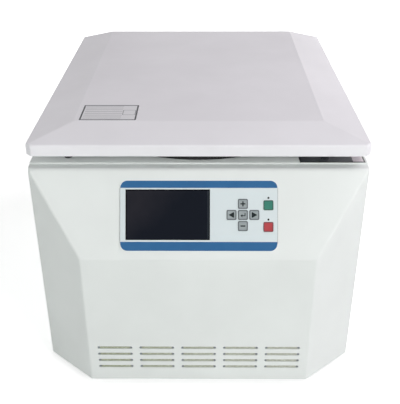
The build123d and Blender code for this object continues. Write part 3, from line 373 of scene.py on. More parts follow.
def makeSlopePoint():
    # coordinates on the control panel's slope: X across, Y up the slope, Z out of it
    tree, given, out = newGroup(
        "slopePoint", {"Middle": (vectorSocket, (0, 0, 0)), "Tilt": (vectorSocket, (0, 0, 0))},
        {"X": floatSocket, "Y": floatSocket, "Z": floatSocket})
    placed = {"Vector": objectPoint(tree), "Location": given["Middle"], "Rotation": given["Tilt"]}
    turned = addNode(tree, "ShaderNodeMapping", placed, vector_type="TEXTURE")
    part = splitPoint(tree, turned.outputs[0])
    for axis in "XYZ":
        join(tree, out.inputs[axis], part[axis])
    return tree


powderCoat = makePowderCoat()
edgeWear = makeEdgeWear()
settledDust = makeSettledDust()
smudges = makeSmudges()
turnedGrain = makeTurnedGrain()
brushedGrain = makeBrushedGrain()
mouldGrain = makeMouldGrain()
slopePoint = makeSlopePoint()
print("surface effects made")


# The control panel's own plane, found from the facia


def findSlope():
    facia = nodes["keypad_facia"].data
    outward = Vector((0, 0, 0))
    for face in facia.polygons:
        if face.normal.y < -0.5 and face.normal.z > 0.3:
            outward += face.normal * face.area
    outward.normalize()
    across = Vector((1, 0, 0))
    up = outward.cross(across).normalized()
    spots = [v.co for v in facia.vertices]
    lowest = min(spot.dot(outward) for spot in spots)
    middles = [(min(s.dot(d) for s in spots) + max(s.dot(d) for s in spots)) / 2 for d in (across, up)]
    middle = across * middles[0] + up * middles[1] + outward * lowest
    return {"middle": middle, "across": across, "up": up, "out": outward, "tilt": math.atan2(up.z, up.y)}


slope = findSlope()


def onSlope(x, y, z):
    return slope["middle"] + slope["across"] * x + slope["up"] * y + slope["out"] * z


def slopeBox(name):
    # lowest and highest place of a node in the slope's own directions
    spots = [v.co - slope["middle"] for v in nodes[name].data.vertices]
    lows = [min(s.dot(slope[d]) for s in spots) for d in ("across", "up", "out")]
    highs = [max(s.dot(slope[d]) for s in spots) for d in ("across", "up", "out")]
    return lows, highs


def slopePlace(tree):
    return effect(tree, slopePoint, Middle=slope["middle"], Tilt=(slope["tilt"], 0, 0))


def middleAndSize(box):
    low, high = box
    return (low + high) / 2, high - low


# Materials

even = (1.0, 1.0, 1.0)  # no brushing direction
middleTones = (0.3, 0.7)  # where most of a noise's values lie

coats = {
    "cabinet_paint": {
        "colour": (0.785, 0.812, 0.8), "rough": 0.36, "gloss": 0.25, "relief": 0.025 * mm, "dust": 0.04},
    "lid_paint": {
        "colour": (0.852, 0.84, 0.872), "rough": 0.3, "gloss": 0.1, "relief": 0.02 * mm, "dust": 0.03},
}

coatFinish = {
    "darker": 0.965,
    "lighter": 1.02,
    "edges": {"Radius": 0.8 * mm, "Amount": 0.22, "Breakup": 260.0},
    "worn": (0.55, 0.57, 0.56),
    "dust": (0.52, 0.5, 0.46),
    "dustScale": 24.0,
    "smudgeScale": 9.0,
    "smudgeRough": 0.04,
}


def coatMaterial(name):
    own, look = coats[name], coatFinish
    material, tree, shader = newMaterial(name, Specular_IOR_Level=own["gloss"])
    coat = effect(tree, powderCoat)
    darker, lighter = rgba(own["colour"], look["darker"]), rgba(own["colour"], look["lighter"])
    colour = mixColour(tree, remap(tree, coat["Drift"], *middleTones), darker, lighter)
    colour = mixColour(tree, effect(tree, edgeWear, **look["edges"])["Mask"], colour, look["worn"])
    dust = effect(tree, settledDust, Amount=own["dust"], Scale=look["dustScale"])["Mask"]
    colour = mixColour(tree, dust, colour, look["dust"])
    marks = effect(tree, smudges, Scale=look["smudgeScale"])["Mask"]
    rough = maths(tree, "ADD", varied(tree, marks, own["rough"], look["smudgeRough"]), dust)
    dress(tree, shader, colour, rough, coat["Height"], own["relief"])
    return material


steels = {
    "zinc_steel": {
        "colour": (0.52, 0.53, 0.54), "rough": 0.42, "stretch": (0.3, 1.0, 1.0), "relief": 0.01 * mm},
    "screw_steel": {"colour": (0.46, 0.46, 0.47), "rough": 0.3, "stretch": even, "relief": 0.01 * mm},
    "shaft_steel": {
        "colour": (0.5, 0.5, 0.5), "rough": 0.22, "stretch": (1.0, 1.0, 0.05), "relief": 0.006 * mm},
    "sleeve_steel": {
        "colour": (0.6, 0.6, 0.6), "rough": 0.3, "stretch": (1.0, 1.0, 0.08), "relief": 0.01 * mm},
    "chrome_wire": {"colour": (0.62, 0.62, 0.64), "rough": 0.12, "stretch": even, "relief": 0.004 * mm},
    "cast_aluminium": {"colour": (0.5, 0.51, 0.52), "rough": 0.5, "stretch": even, "relief": 0.06 * mm},
}

steelFinish = {
    "darker": 0.8,
    "edges": {"Radius": 0.5 * mm, "Amount": 0.6, "Breakup": 500.0},
    "edgeLighter": 1.25,
    "dustLevel": {"Amount": 0.1, "Scale": 60.0},
    "dust": (0.3, 0.28, 0.25),
    "smudgeScale": 25.0,
    "smudgeRough": 0.1,
    "streakRough": 0.12,
}


def steelMaterial(name):
    own, look = steels[name], steelFinish
    material, tree, shader = newMaterial(name, Metallic=1.0)
    grain = effect(tree, brushedGrain, Stretch=own["stretch"])
    tone = remap(tree, grain["Streak"], *middleTones)
    colour = mixColour(tree, tone, rgba(own["colour"], look["darker"]), own["colour"])
    colour = mixColour(tree, effect(tree, settledDust, **look["dustLevel"])["Mask"], colour, look["dust"])
    worn = effect(tree, edgeWear, **look["edges"])["Mask"]
    colour = mixColour(tree, worn, colour, rgba(own["colour"], look["edgeLighter"]))
    marks = effect(tree, smudges, Scale=look["smudgeScale"])["Mask"]
    rough = varied(tree, grain["Streak"], own["rough"] - look["streakRough"] / 2, look["streakRough"])
    rough = varied(tree, marks, rough, look["smudgeRough"])
    dress(tree, shader, colour, rough, grain["Height"], own["relief"])
    return material


turnings = {
    "stainless": {"colour": (0.66, 0.665, 0.665), "rough": 0.3, "lines": 1100.0, "relief": 0.004 * mm},
    "turned_aluminium": {"colour": (0.63, 0.64, 0.65), "rough": 0.28, "lines": 1800.0, "relief": 0.004 * mm},
}

turnedFinish = {
    "darker": 0.92,
    "edges": {"Radius": 0.6 * mm, "Amount": 0.5, "Breakup": 400.0},
    "worn": (0.8, 0.8, 0.79),
    "smudge": (0.42, 0.41, 0.38),
    "smudgeLevel": 0.12,
    "smudgeScale": 18.0,
    "smudgeRough": 0.06,
    "streakRough": 0.08,
}


def turnedMaterial(name):
    own, look = turnings[name], turnedFinish
    middle = middleAndSize(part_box("rotor_hub"))[0]
    material, tree, shader = newMaterial(name, Metallic=1.0)
    grain = effect(tree, turnedGrain, Axis=(middle.x, middle.y, 0.0), Lines=own["lines"])
    tone = remap(tree, grain["Streak"], *middleTones)
    colour = mixColour(tree, tone, rgba(own["colour"], look["darker"]), own["colour"])
    marks = effect(tree, smudges, Scale=look["smudgeScale"])["Mask"]
    colour = mixColour(tree, maths(tree, "MULTIPLY", marks, look["smudgeLevel"]), colour, look["smudge"])
    colour = mixColour(tree, effect(tree, edgeWear, **look["edges"])["Mask"], colour, look["worn"])
    rough = varied(tree, grain["Streak"], own["rough"] - look["streakRough"] / 2, look["streakRough"])
    rough = varied(tree, marks, rough, look["smudgeRough"])
    dress(tree, shader, colour, rough, grain["Height"], own["relief"])
    return material


mouldings = {
    "black_rubber": {"colour": (0.018, 0.018, 0.019), "rough": 0.72, "scale": 1500.0, "relief": 0.05 * mm},
    "red_rubber": {"colour": (0.32, 0.045, 0.035), "rough": 0.65, "scale": 1500.0, "relief": 0.05 * mm},
    "silicone_heater": {"colour": (0.4, 0.12, 0.045), "rough": 0.6, "scale": 900.0, "relief": 0.12 * mm},
    "black_plastic": {"colour": (0.016, 0.016, 0.018), "rough": 0.42, "scale": 2200.0, "relief": 0.03 * mm},
    "key_grey": {"colour": (0.285, 0.318, 0.328), "rough": 0.5, "scale": 4000.0, "relief": 0.012 * mm},
    "key_green": {"colour": (0.028, 0.175, 0.128), "rough": 0.45, "scale": 4000.0, "relief": 0.012 * mm},
    "key_red": {"colour": (0.37, 0.04, 0.048), "rough": 0.45, "scale": 4000.0, "relief": 0.012 * mm},
    "lamp_lens": {"colour": (0.016, 0.018, 0.018), "rough": 0.15, "scale": 3000.0, "relief": 0.004 * mm},
}

mouldedFinish = {
    "gloss": 0.3,
    "toneRange": (0.3, 0.75),
    "lighter": (1.25, 0.004),  # times the colour, and added to it
    "edges": {"Radius": 0.4 * mm, "Amount": 0.3, "Breakup": 600.0},
    "edgeLighter": (1.6, 0.03),
    "dustLevel": {"Amount": 0.1, "Scale": 80.0},
    "dust": (0.3, 0.29, 0.27),
    "toneRough": 0.16,
}


def mouldedMaterial(name):
    own, look = mouldings[name], mouldedFinish
    material, tree, shader = newMaterial(name, Specular_IOR_Level=look["gloss"])
    grain = effect(tree, mouldGrain, Scale=own["scale"])
    tone = remap(tree, grain["Tone"], *look["toneRange"])
    colour = mixColour(tree, tone, own["colour"], rgba(own["colour"], *look["lighter"]))
    colour = mixColour(tree, effect(tree, settledDust, **look["dustLevel"])["Mask"], colour, look["dust"])
    worn = effect(tree, edgeWear, **look["edges"])["Mask"]
    colour = mixColour(tree, worn, colour, rgba(own["colour"], *look["edgeLighter"]))
    rough = varied(tree, grain["Tone"], own["rough"] - look["toneRough"] / 2, look["toneRough"])
    dress(tree, shader, colour, rough, grain["Height"], own["relief"])
    return material


inletLook = {
    "plastic": (0.016, 0.016, 0.018),
    "paler": (0.026, 0.026, 0.028),
    "blade": (0.6, 0.58, 0.54),
    # from the module's middle
    "places": ((-7.0 * mm, -15.0 * mm), (0.0, -11.0 * mm), (7.0 * mm, -15.0 * mm)),
    "halfSize": (1.02 * mm, 2.02 * mm),
    "recess": 15.9 * mm,  # the blades start this far under the rim
    "rough": (0.34, 0.16),  # at least, and added where the grain is paler
    "grain": 2200.0,
    "relief": 0.03 * mm,
}


def inletMaterial():
    # the module's plastic, with its three blades in bright metal
    look = inletLook
    middle, size = middleAndSize(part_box("power_inlet"))
    material, tree, shader = newMaterial("inlet_module", Specular_IOR_Level=mouldedFinish["gloss"])
    part = splitPoint(tree, objectPoint(tree))
    metal = 0.0
    for x, z in look["places"]:
        acrossBlade = maths(tree, "COMPARE", part["X"], middle.x + x, look["halfSize"][0])
        alongBlade = maths(tree, "COMPARE", part["Z"], middle.z + z, look["halfSize"][1])
        metal = maths(tree, "MAXIMUM", maths(tree, "MULTIPLY", acrossBlade, alongBlade), metal)
    deep = maths(tree, "GREATER_THAN", part["Y"], middle.y + size.y / 2 - look["recess"])
    metal = maths(tree, "MULTIPLY", metal, deep)
    join(tree, shader.inputs["Metallic"], metal)
    grain = effect(tree, mouldGrain, Scale=look["grain"])
    plastic = mixColour(tree, grain["Tone"], look["plastic"], look["paler"])
    rough = varied(tree, grain["Tone"], *look["rough"])
    colour = mixColour(tree, metal, plastic, look["blade"])
    dress(tree, shader, colour, rough, grain["Height"], look["relief"])
    return material


rockerLook = {
    "plastic": (0.013, 0.013, 0.014),
    "lighter": 1.4,
    "mark": (0.72, 0.72, 0.7),
    "reach": 5.4 * mm,  # from the middle to each mark
    "stroke": 0.3 * mm,
    "bar": 1.6 * mm,
    "barCorner": 0.1 * mm,
    "ring": 1.5 * mm,
    "rough": (0.14, 0.1),
    "grain": 3000.0,
    "relief": 0.008 * mm,
}


def rockerMaterial():
    # glossy plastic with a bar at the on end and a ring at the off end
    look = rockerLook
    middle = middleAndSize(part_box("power_rocker"))[0]
    material, tree, shader = newMaterial("rocker_plastic")
    x, z = pointFrom(tree, middle, "XZ")
    barZ = maths(tree, "SUBTRACT", z, look["reach"])
    ringZ = maths(tree, "ADD", z, look["reach"])
    bar = roundedBoxDistance(tree, x, barZ, look["stroke"], look["bar"], look["barCorner"])
    ring = maths(tree, "ABSOLUTE", roundedBoxDistance(tree, x, ringZ, *[look["ring"]] * 3))
    marks = maths(tree, "MAXIMUM", below(tree, bar, 0.0), below(tree, ring, look["stroke"]))
    grain = effect(tree, mouldGrain, Scale=look["grain"])
    plastic = mixColour(tree, grain["Tone"], look["plastic"], rgba(look["plastic"], look["lighter"]))
    rough = varied(tree, grain["Tone"], *look["rough"])
    dress(tree, shader, mixColour(tree, marks, plastic, look["mark"]), rough, grain["Height"], look["relief"])
    return material


faciaPrint = {
    "ground": (0.69, 0.755, 0.775),
    "groundDarker": 0.97,
    "halo": (0.82, 0.85, 0.86),  # pale line left round the bands
    "band": (0.024, 0.112, 0.27),
    "bandLighter": (0.03, 0.14, 0.32),
    # painted shade: a thin dark line down both side edges, for the shadow at the facia's edge
    "edgeShadeLine": (0.3, 0.31, 0.32),
    "edgeShadeWide": 0.48 * mm,
    "margin": 0.6 * mm,
    "topBand": 9.5 * mm,
    "topBandEdge": 0.08 * mm,
    "bottomBand": 11.8 * mm,
    "corner": 9.3 * mm,
    "gloss": 0.2,
    "dust": (0.5, 0.48, 0.45),
    "dustLevel": {"Amount": 0.05, "Scale": 90.0},
    "smudgeScale": 30.0,
    "rough": (0.34, 0.12),
    "grain": 2600.0,
    "relief": 0.015 * mm,
}


def faciaMaterial():
    look = faciaPrint
    halfWide, halfTall, _ = slopeBox("keypad_facia")[1]
    material, tree, shader = newMaterial("facia_print", Specular_IOR_Level=look["gloss"])
    place = slopePlace(tree)
    fromMiddleX, fromMiddleY = [maths(tree, "ABSOLUTE", place[axis]) for axis in "XY"]
    wide, tall = halfWide - look["margin"], halfTall - look["margin"]
    edge = roundedBoxDistance(tree, place["X"], place["Y"], wide, tall, look["corner"])
    bandStart = tall - look["topBand"]
    top = remap(tree, place["Y"], bandStart, bandStart + look["topBandEdge"])
    low = below(tree, place["Y"], look["bottomBand"] - tall)
    rounded = below(tree, edge, 0.0)
    bands = maths(tree, "MULTIPLY", rounded, maths(tree, "MAXIMUM", top, low))
    grain = effect(tree, mouldGrain, Scale=look["grain"])
    blue = mixColour(tree, grain["Tone"], look["band"], look["bandLighter"])
    ground = mixColour(tree, grain["Tone"], rgba(look["ground"], look["groundDarker"]), look["ground"])
    # painted shade along both side edges, between the bands
    side = maths(tree, "GREATER_THAN", fromMiddleX, halfWide - look["edgeShadeWide"])
    between = maths(tree, "LESS_THAN", fromMiddleY, bandStart)
    colour = mixColour(tree, rounded, look["halo"], ground)
    colour = mixColour(tree, maths(tree, "MULTIPLY", side, between), colour, look["edgeShadeLine"])
    colour = mixColour(tree, bands, colour, blue)
    colour = mixColour(tree, effect(tree, settledDust, **look["dustLevel"])["Mask"], colour, look["dust"])
    marks = effect(tree, smudges, Scale=look["smudgeScale"])["Mask"]
    dress(tree, shader, colour, varied(tree, marks, *look["rough"]), grain["Height"], look["relief"])
    return material


screenLook = {
    "border": (0.003, 0.003, 0.004),
    "paintedReflection": (0.021, 0.0205, 0.027),  # painted reflection of the room, lighter and warmer towards the top left corner
    "panelCool": (0.008, 0.0102, 0.0165),
    "drift": (0.2, 0.75),  # where the painted reflection ends and the panel's own dark begins
    "clouds": (35.0, 0.5),  # scale, and how far they move the drift
    "line": (0.07, 0.08, 0.092),
    "lineAt": 2.4 * mm,  # from the window's right edge
    "lineHalf": 0.3 * mm,
    "lineSoft": 0.1 * mm,
    "inset": 1.4 * mm,
    "corner": 0.4 * mm,
    "gloss": 0.04,
    "smudgeScale": 22.0,
    "rough": (0.1, 0.14),
    "waves": 60.0,
    "relief": 0.01 * mm,
}


def screenMaterial():
    look = screenLook
    lows, highs = slopeBox("display_window")
    middleX, middleY = (lows[0] + highs[0]) / 2, (lows[1] + highs[1]) / 2
    halfWide, halfTall = (highs[0] - lows[0]) / 2, (highs[1] - lows[1]) / 2
    material, tree, shader = newMaterial("screen_glass", Specular_IOR_Level=look["gloss"])
    place = slopePlace(tree)
    x = maths(tree, "SUBTRACT", place["X"], middleX)
    y = maths(tree, "SUBTRACT", place["Y"], middleY)
    inset = look["inset"]
    edge = roundedBoxDistance(tree, x, y, halfWide - inset, halfTall - inset, look["corner"])
    # painted reflection: the glass is lighter towards the top left, its edge broken up by clouds
    across = remap(tree, maths(tree, "SUBTRACT", x, y), -halfWide, halfWide)
    cloudScale, cloudShift = look["clouds"]
    clouds = noise(tree, objectPoint(tree), cloudScale, detail=3.0)
    drift = maths(tree, "ADD", across, maths(tree, "MULTIPLY", clouds, cloudShift))
    glass = mixColour(tree, remap(tree, drift, *look["drift"]), look["paintedReflection"], look["panelCool"])
    fromLine = maths(tree, "ABSOLUTE", maths(tree, "SUBTRACT", x, halfWide - look["lineAt"]))
    glass = mixColour(tree, below(tree, fromLine, look["lineHalf"], look["lineSoft"]), glass, look["line"])
    colour = mixColour(tree, below(tree, edge, 0.0), look["border"], glass)
    marks = effect(tree, smudges, Scale=look["smudgeScale"])["Mask"]
    waves = noise(tree, objectPoint(tree), look["waves"], detail=1.0)
    dress(tree, shader, colour, varied(tree, marks, *look["rough"]), waves, look["relief"])
    return material


labelLook = {
    "paper": (0.76, 0.755, 0.78),
    "paperDarker": 0.95,
    "ink": (0.02, 0.021, 0.03),
    "rule": (0.16, 0.16, 0.18),
    "border": 2.2 * mm,
    "inset": 0.3 * mm,
    "corner": 1.2 * mm,
    "ruleGap": 6.6 * mm,
    "ruleWidth": 0.8 * mm,
    "ruleMargin": 4.0 * mm,
    "ruleEdge": 0.55,  # rules stop this share of a gap inside the border
    "column": 17.0 * mm,  # width of the empty box at the right
    "columnMargin": 3.0 * mm,
    "columnCorner": 0.5 * mm,
    "gloss": 0.2,
    "smudgeScale": 30.0,
    "rough": (0.32, 0.15),
    "grain": 2400.0,
    "relief": 0.008 * mm,
}


def labelMaterial():
    # an empty service card: a border, ruled lines and one blank box
    look = labelLook
    middle, size = middleAndSize(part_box("lid_label"))
    material, tree, shader = newMaterial("label_film", Specular_IOR_Level=look["gloss"])
    x, y = pointFrom(tree, middle, "XY")
    halfWide, halfTall = size.x / 2 - look["inset"], size.y / 2 - look["inset"]
    edge = roundedBoxDistance(tree, x, y, halfWide, halfTall, look["corner"])
    within = maths(tree, "SUBTRACT", 1.0, below(tree, edge, -look["border"]))
    border = maths(tree, "MULTIPLY", below(tree, edge, 0.0), within)
    halfGap, halfRule, column = look["ruleGap"] / 2, look["ruleWidth"] / 2, look["column"]
    rows = maths(tree, "PINGPONG", maths(tree, "ADD", y, halfGap), halfGap)
    inner = below(tree, maths(tree, "ABSOLUTE", y), halfTall - look["ruleEdge"] * look["ruleGap"])
    left = maths(tree, "GREATER_THAN", x, look["ruleMargin"] - halfWide)
    right = maths(tree, "LESS_THAN", x, halfWide - column - look["ruleMargin"])
    rules = below(tree, rows, halfRule)
    for limit in (inner, left, right):
        rules = maths(tree, "MULTIPLY", rules, limit)
    boxX = maths(tree, "SUBTRACT", x, halfWide - column / 2 - look["columnMargin"])
    boxEdge = roundedBoxDistance(tree, boxX, y, column / 2, column / 2, look["columnCorner"])
    boxLine = below(tree, maths(tree, "ABSOLUTE", boxEdge), halfRule)
    grain = effect(tree, mouldGrain, Scale=look["grain"])
    paper = mixColour(tree, grain["Tone"], rgba(look["paper"], look["paperDarker"]), look["paper"])
    colour = mixColour(tree, maths(tree, "MAXIMUM", rules, boxLine), paper, look["rule"])
    colour = mixColour(tree, border, colour, look["ink"])
    marks = effect(tree, smudges, Scale=look["smudgeScale"])["Mask"]
    dress(tree, shader, colour, varied(tree, marks, *look["rough"]), grain["Height"], look["relief"])
    return material


plateLook = {
    "face": (0.078, 0.085, 0.094),
    "faceDarker": 0.8,
    "border": (0.005, 0.005, 0.006),
    "borderWide": 2.2 * mm,
    "corner": 0.5 * mm,
    "pale": (0.6, 0.53, 0.57),  # painted light: a lighter field at the right end, where lamp light falls past the lid's shadow
    "litFieldLength": 16.0 * mm,
    "litFieldEdge": 0.1 * mm,
    "coat": {"Coat_Weight": 0.8, "Coat_Roughness": 0.05},
    "brush": {"Stretch": (0.03, 1.0, 1.0), "Lines": 900.0},
    "smudgeScale": 26.0,
    "rough": (0.1, 0.15),
    "relief": 0.004 * mm,
}


def plateMaterial():
    look = plateLook
    middle, size = middleAndSize(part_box("rating_plate"))
    material, tree, shader = newMaterial("dark_plate", **look["coat"])
    x, y = pointFrom(tree, middle, "XY")
    halfWide, halfTall = size.x / 2 - look["borderWide"], size.y / 2 - look["borderWide"]
    edge = roundedBoxDistance(tree, x, y, halfWide, halfTall, look["corner"])
    grain = effect(tree, brushedGrain, **look["brush"])
    face = mixColour(tree, grain["Streak"], rgba(look["face"], look["faceDarker"]), look["face"])
    # painted light: the face turns to the pale field at its right end, standing in for lamp light past the
    # lid's shadow
    litFieldStart = size.x / 2 - look["litFieldLength"]
    face = mixColour(tree, remap(tree, x, litFieldStart - look["litFieldEdge"], litFieldStart), face, look["pale"])
    colour = mixColour(tree, below(tree, edge, 0.0), look["border"], face)
    marks = effect(tree, smudges, Scale=look["smudgeScale"])["Mask"]
    dress(tree, shader, colour, varied(tree, marks, *look["rough"]), grain["Height"], look["relief"])
    return material


foamLook = {
    "skin": (0.66, 0.67, 0.6),
    "paler": (0.78, 0.78, 0.72),
    "mottle": 30.0,
    "pores": (0.44, 0.44, 0.38),
    "poreScale": 520.0,
    "poreRange": (0.15, 0.6),
    "leftTint": (0.74, 0.79, 0.64),  # tint multiplied in, strongest at the left end
    "slotEndShade": (0.19, 0.21, 0.24),  # painted shade: dark strips between the columns of slots, showing at each slot's ends
    "columns": 59.4 * mm,
    "bare": (20.9 * mm, 22.1 * mm),  # from a column's middle, where the foam's own colour ends and the painted shade begins
    "rough": (0.85, 0.98),
    "relief": 0.6 * mm,
}


def foamMaterial():
    look = foamLook
    material, tree, shader = newMaterial("filter_foam", Sheen_Weight=0.2)
    point = objectPoint(tree)
    cells = cellTexture(tree, point, look["poreScale"], "F1")
    pores = remap(tree, cells, *look["poreRange"], smooth=True)
    tone = noise(tree, point, look["mottle"], detail=3.0)
    foam = mixColour(tree, pores, mixColour(tree, tone, look["skin"], look["paler"]), look["pores"])
    low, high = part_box("intake_filter")
    across = splitPoint(tree, point)["X"]
    # darker and yellower towards the left end, fading to none at the right
    towardsLeft = remap(tree, across, low.x, high.x, 1.0, 0.0)
    foam = mixColour(tree, towardsLeft, foam, look["leftTint"], blend="MULTIPLY")
    # painted shade: past each slot's end the foam turns dark blue-grey, for the shadow there
    fromColumn = maths(tree, "PINGPONG", across, look["columns"] / 2)
    colour = mixColour(tree, remap(tree, fromColumn, *look["bare"]), foam, look["slotEndShade"])
    rough = remap(tree, tone, 0.2, 0.8, *look["rough"])
    dress(tree, shader, colour, rough, maths(tree, "SUBTRACT", 1.0, pores), look["relief"])
    return material


boardLook = {
    "mask": (0.012, 0.11, 0.045),
    "track": (0.03, 0.2, 0.09),
    "trackScale": 260.0,
    "trackEdge": (0.06, 0.02),  # half width and softness, in cells
    "parts": (0.02, 0.02, 0.022),
    "middle": 3.8 * mm,  # of the bare board, above the node's lowest place
    "halfThick": (0.85 * mm, 0.95 * mm),
    "rough": (0.2, 0.3),
    "grain": 1500.0,
    "relief": 0.03 * mm,
}


def boardMaterial():
    # solder mask with tracks, and dark parts standing off both faces
    look = boardLook
    lowest = slopeBox("control_board")[0][2]
    material, tree, shader = newMaterial("circuit_board")
    place = slopePlace(tree)
    cell = cellTexture(tree, objectPoint(tree), look["trackScale"], "DISTANCE_TO_EDGE")
    tracks = below(tree, cell, *look["trackEdge"])
    mask = mixColour(tree, tracks, look["mask"], look["track"])
    away = maths(tree, "ABSOLUTE", maths(tree, "SUBTRACT", place["Z"], lowest + look["middle"]))
    colour = mixColour(tree, remap(tree, away, *look["halfThick"]), mask, look["parts"])
    grain = effect(tree, mouldGrain, Scale=look["grain"])
    height = maths(tree, "ADD", tracks, grain["Height"])
    dress(tree, shader, colour, varied(tree, grain["Tone"], *look["rough"]), height, look["relief"])
    return material


statorLook = {
    "iron": (0.06, 0.058, 0.055),
    "ironEdge": (0.16, 0.155, 0.15),
    "sheet": 0.25 * mm,
    "copper": (0.28, 0.09, 0.035),
    "copperLight": (0.5, 0.2, 0.08),
    "windings": (5.2 * mm, 4.8 * mm),  # from each end: iron past the first, copper within the second
    "wires": 900.0,
    "rough": (0.35, 0.6),
    "relief": 0.2 * mm,
    "metal": 0.8,
}


def statorMaterial():
    # dark laminations, and copper windings above and below them
    look = statorLook
    middle, size = middleAndSize(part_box("motor_stator"))
    material, tree, shader = newMaterial("stator_iron", Metallic=look["metal"])
    part = splitPoint(tree, objectPoint(tree))
    fromMiddle = maths(tree, "ABSOLUTE", maths(tree, "SUBTRACT", part["Z"], middle.z))
    windings = remap(tree, fromMiddle, *(size.z / 2 - depth for depth in look["windings"]))
    sheet = remap(tree, maths(tree, "PINGPONG", part["Z"], look["sheet"]), 0.0, look["sheet"])
    iron = mixColour(tree, sheet, look["iron"], look["ironEdge"])
    wire = effect(tree, turnedGrain, Axis=(middle.x, middle.y, 0.0), Lines=look["wires"])
    copper = mixColour(tree, wire["Height"], look["copper"], look["copperLight"])
    rough = remap(tree, wire["Streak"], 0.2, 0.8, *look["rough"])
    dress(tree, shader, mixColour(tree, windings, iron, copper), rough, wire["Height"], look["relief"])
    return material


def makeMaterials():
    made = {name: coatMaterial(name) for name in coats}
    made.update({name: steelMaterial(name) for name in steels})
    made.update({name: turnedMaterial(name) for name in turnings})
    made.update({name: mouldedMaterial(name) for name in mouldings})
    made["facia_print"] = faciaMaterial()
    made["screen_glass"] = screenMaterial()
    made["label_film"] = labelMaterial()
    made["dark_plate"] = plateMaterial()
    made["filter_foam"] = foamMaterial()
    made["circuit_board"] = boardMaterial()
    made["stator_iron"] = statorMaterial()
    made["rocker_plastic"] = rockerMaterial()
    made["inlet_module"] = inletMaterial()
    return made


ownFinish = {"power_inlet": "inlet_module"}  # nodes with a finish of their own within their slot


def paintNodes(materials):
    for part in frame["record"]["subparts"]:
        mesh = nodes[part["node"]].data
        mesh.materials.clear()
        mesh.materials.append(materials[ownFinish.get(part["node"], part["material_slot"])])


makeWorld()
makeCamera()
makeLamps()
makeFloor()
materials = makeMaterials()
paintNodes(materials)
print("materials made:", len(materials))


# Pieces made here

sharpAngle = math.radians(35)


def addPiece(name, mesh, body):
    for face in mesh.polygons:
        face.use_smooth = True
    mesh.set_sharp_from_angle(angle=sharpAngle)
    piece = bpy.data.objects.new(name, mesh)
    bpy.context.scene.collection.objects.link(piece)
    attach(piece, body)
    return piece


def roundedSquare(halfWide, halfTall, corner, steps):
    # points of a rounded rectangle, anticlockwise
    points = []
    for quarter, (sx, sy) in enumerate(((1, 1), (-1, 1), (-1, -1), (1, -1))):
        for step in range(steps + 1):
            angle = math.radians(90 * (quarter + step / steps))
            x = sx * (halfWide - corner) + corner * math.cos(angle)
            y = sy * (halfTall - corner) + corner * math.sin(angle)
            points.append((x, y))
    return points


def loftMesh(name, loops):
    # a closed solid through loops of equal length, each end filled
    mesh = bmesh.new()
    rows = [[mesh.verts.new(point) for point in loop] for loop in loops]
    count = len(rows[0])
    for lower, upper in zip(rows, rows[1:]):
        for i in range(count):
            j = (i + 1) % count
            mesh.faces.new((lower[i], lower[j], upper[j], upper[i]))
    mesh.faces.new(list(reversed(rows[0])))
    mesh.faces.new(rows[-1])
    bmesh.ops.recalc_face_normals(mesh, faces=mesh.faces)
    data = bpy.data.meshes.new(name)
    mesh.to_mesh(data)
    mesh.free()
    return data


keyShape = {
    "stem": 2.5 * mm,  # radius
    "flangeTop": -0.3 * mm,  # under the facia's back
    "flangeThick": 0.9 * mm,
    "flangeCorner": 0.2 * mm,
    "flangeWider": 0.7 * mm,  # than the cap, each side
    "corner": 1.6 * mm,
    "cornerStep": 0.1 * mm,  # how much tighter each ring in from the rim is
    "rimWidth": 1.25 * mm,
    "rimRound": 0.3 * mm,
    "rimBite": 0.3,  # share of the rim's round that its middle lies in
    "faceDrop": 0.42 * mm,  # the face lies this far under the rim
    "faceEdge": 0.4 * mm,  # band of the face's own colour beside the rim
    "steps": 6,
}

# painted shade: each raised rim gets its own colour, darker than the key's face
keyRimShade = {
    "key_grey": (0.115, 0.13, 0.14),
    "key_green": (0.03, 0.1, 0.075),
    "key_red": (0.19, 0.04, 0.05),
    "lighter": 1.3,
    "gloss": 0.3,
    "rough": (0.35, 0.15),
    "grain": 4000.0,
    "relief": 0.01 * mm,
}


def rimShadeMaterial(name):
    look = keyRimShade
    material, tree, shader = newMaterial(name + " rim", Specular_IOR_Level=look["gloss"])
    grain = effect(tree, mouldGrain, Scale=look["grain"])
    colour = mixColour(tree, grain["Tone"], look[name], rgba(look[name], look["lighter"]))
    dress(tree, shader, colour, varied(tree, grain["Tone"], *look["rough"]), grain["Height"], look["relief"])
    return material


def keyProfile(flange, top, bottom):
    # rings from the stem's foot to the face: half width, corner, height
    look = keyShape
    side, corner, step = flange - look["flangeWider"], look["corner"], look["cornerStep"]
    soft, bite, drop = look["rimRound"], look["rimBite"] * look["rimRound"], look["faceDrop"]
    flangeTop, flangeFoot = look["flangeTop"], look["flangeTop"] - look["flangeThick"]
    inner = side - look["rimWidth"]
    return [
        (look["stem"], look["stem"], bottom),
        (look["stem"], look["stem"], flangeFoot),
        (flange, look["flangeCorner"], flangeFoot),
        (flange, look["flangeCorner"], flangeTop),
        (side, corner, flangeTop),
        (side, corner, top - soft),
        (side - bite, corner, top - bite),
        (side - soft, corner - 2 * step, top),
        (inner + soft, corner - 3 * step, top),
        (inner + bite, corner - 4 * step, top - bite),
        (inner, corner - 5 * step, top - drop),
        (inner - look["faceEdge"], corner - 6 * step, top - drop),
    ]


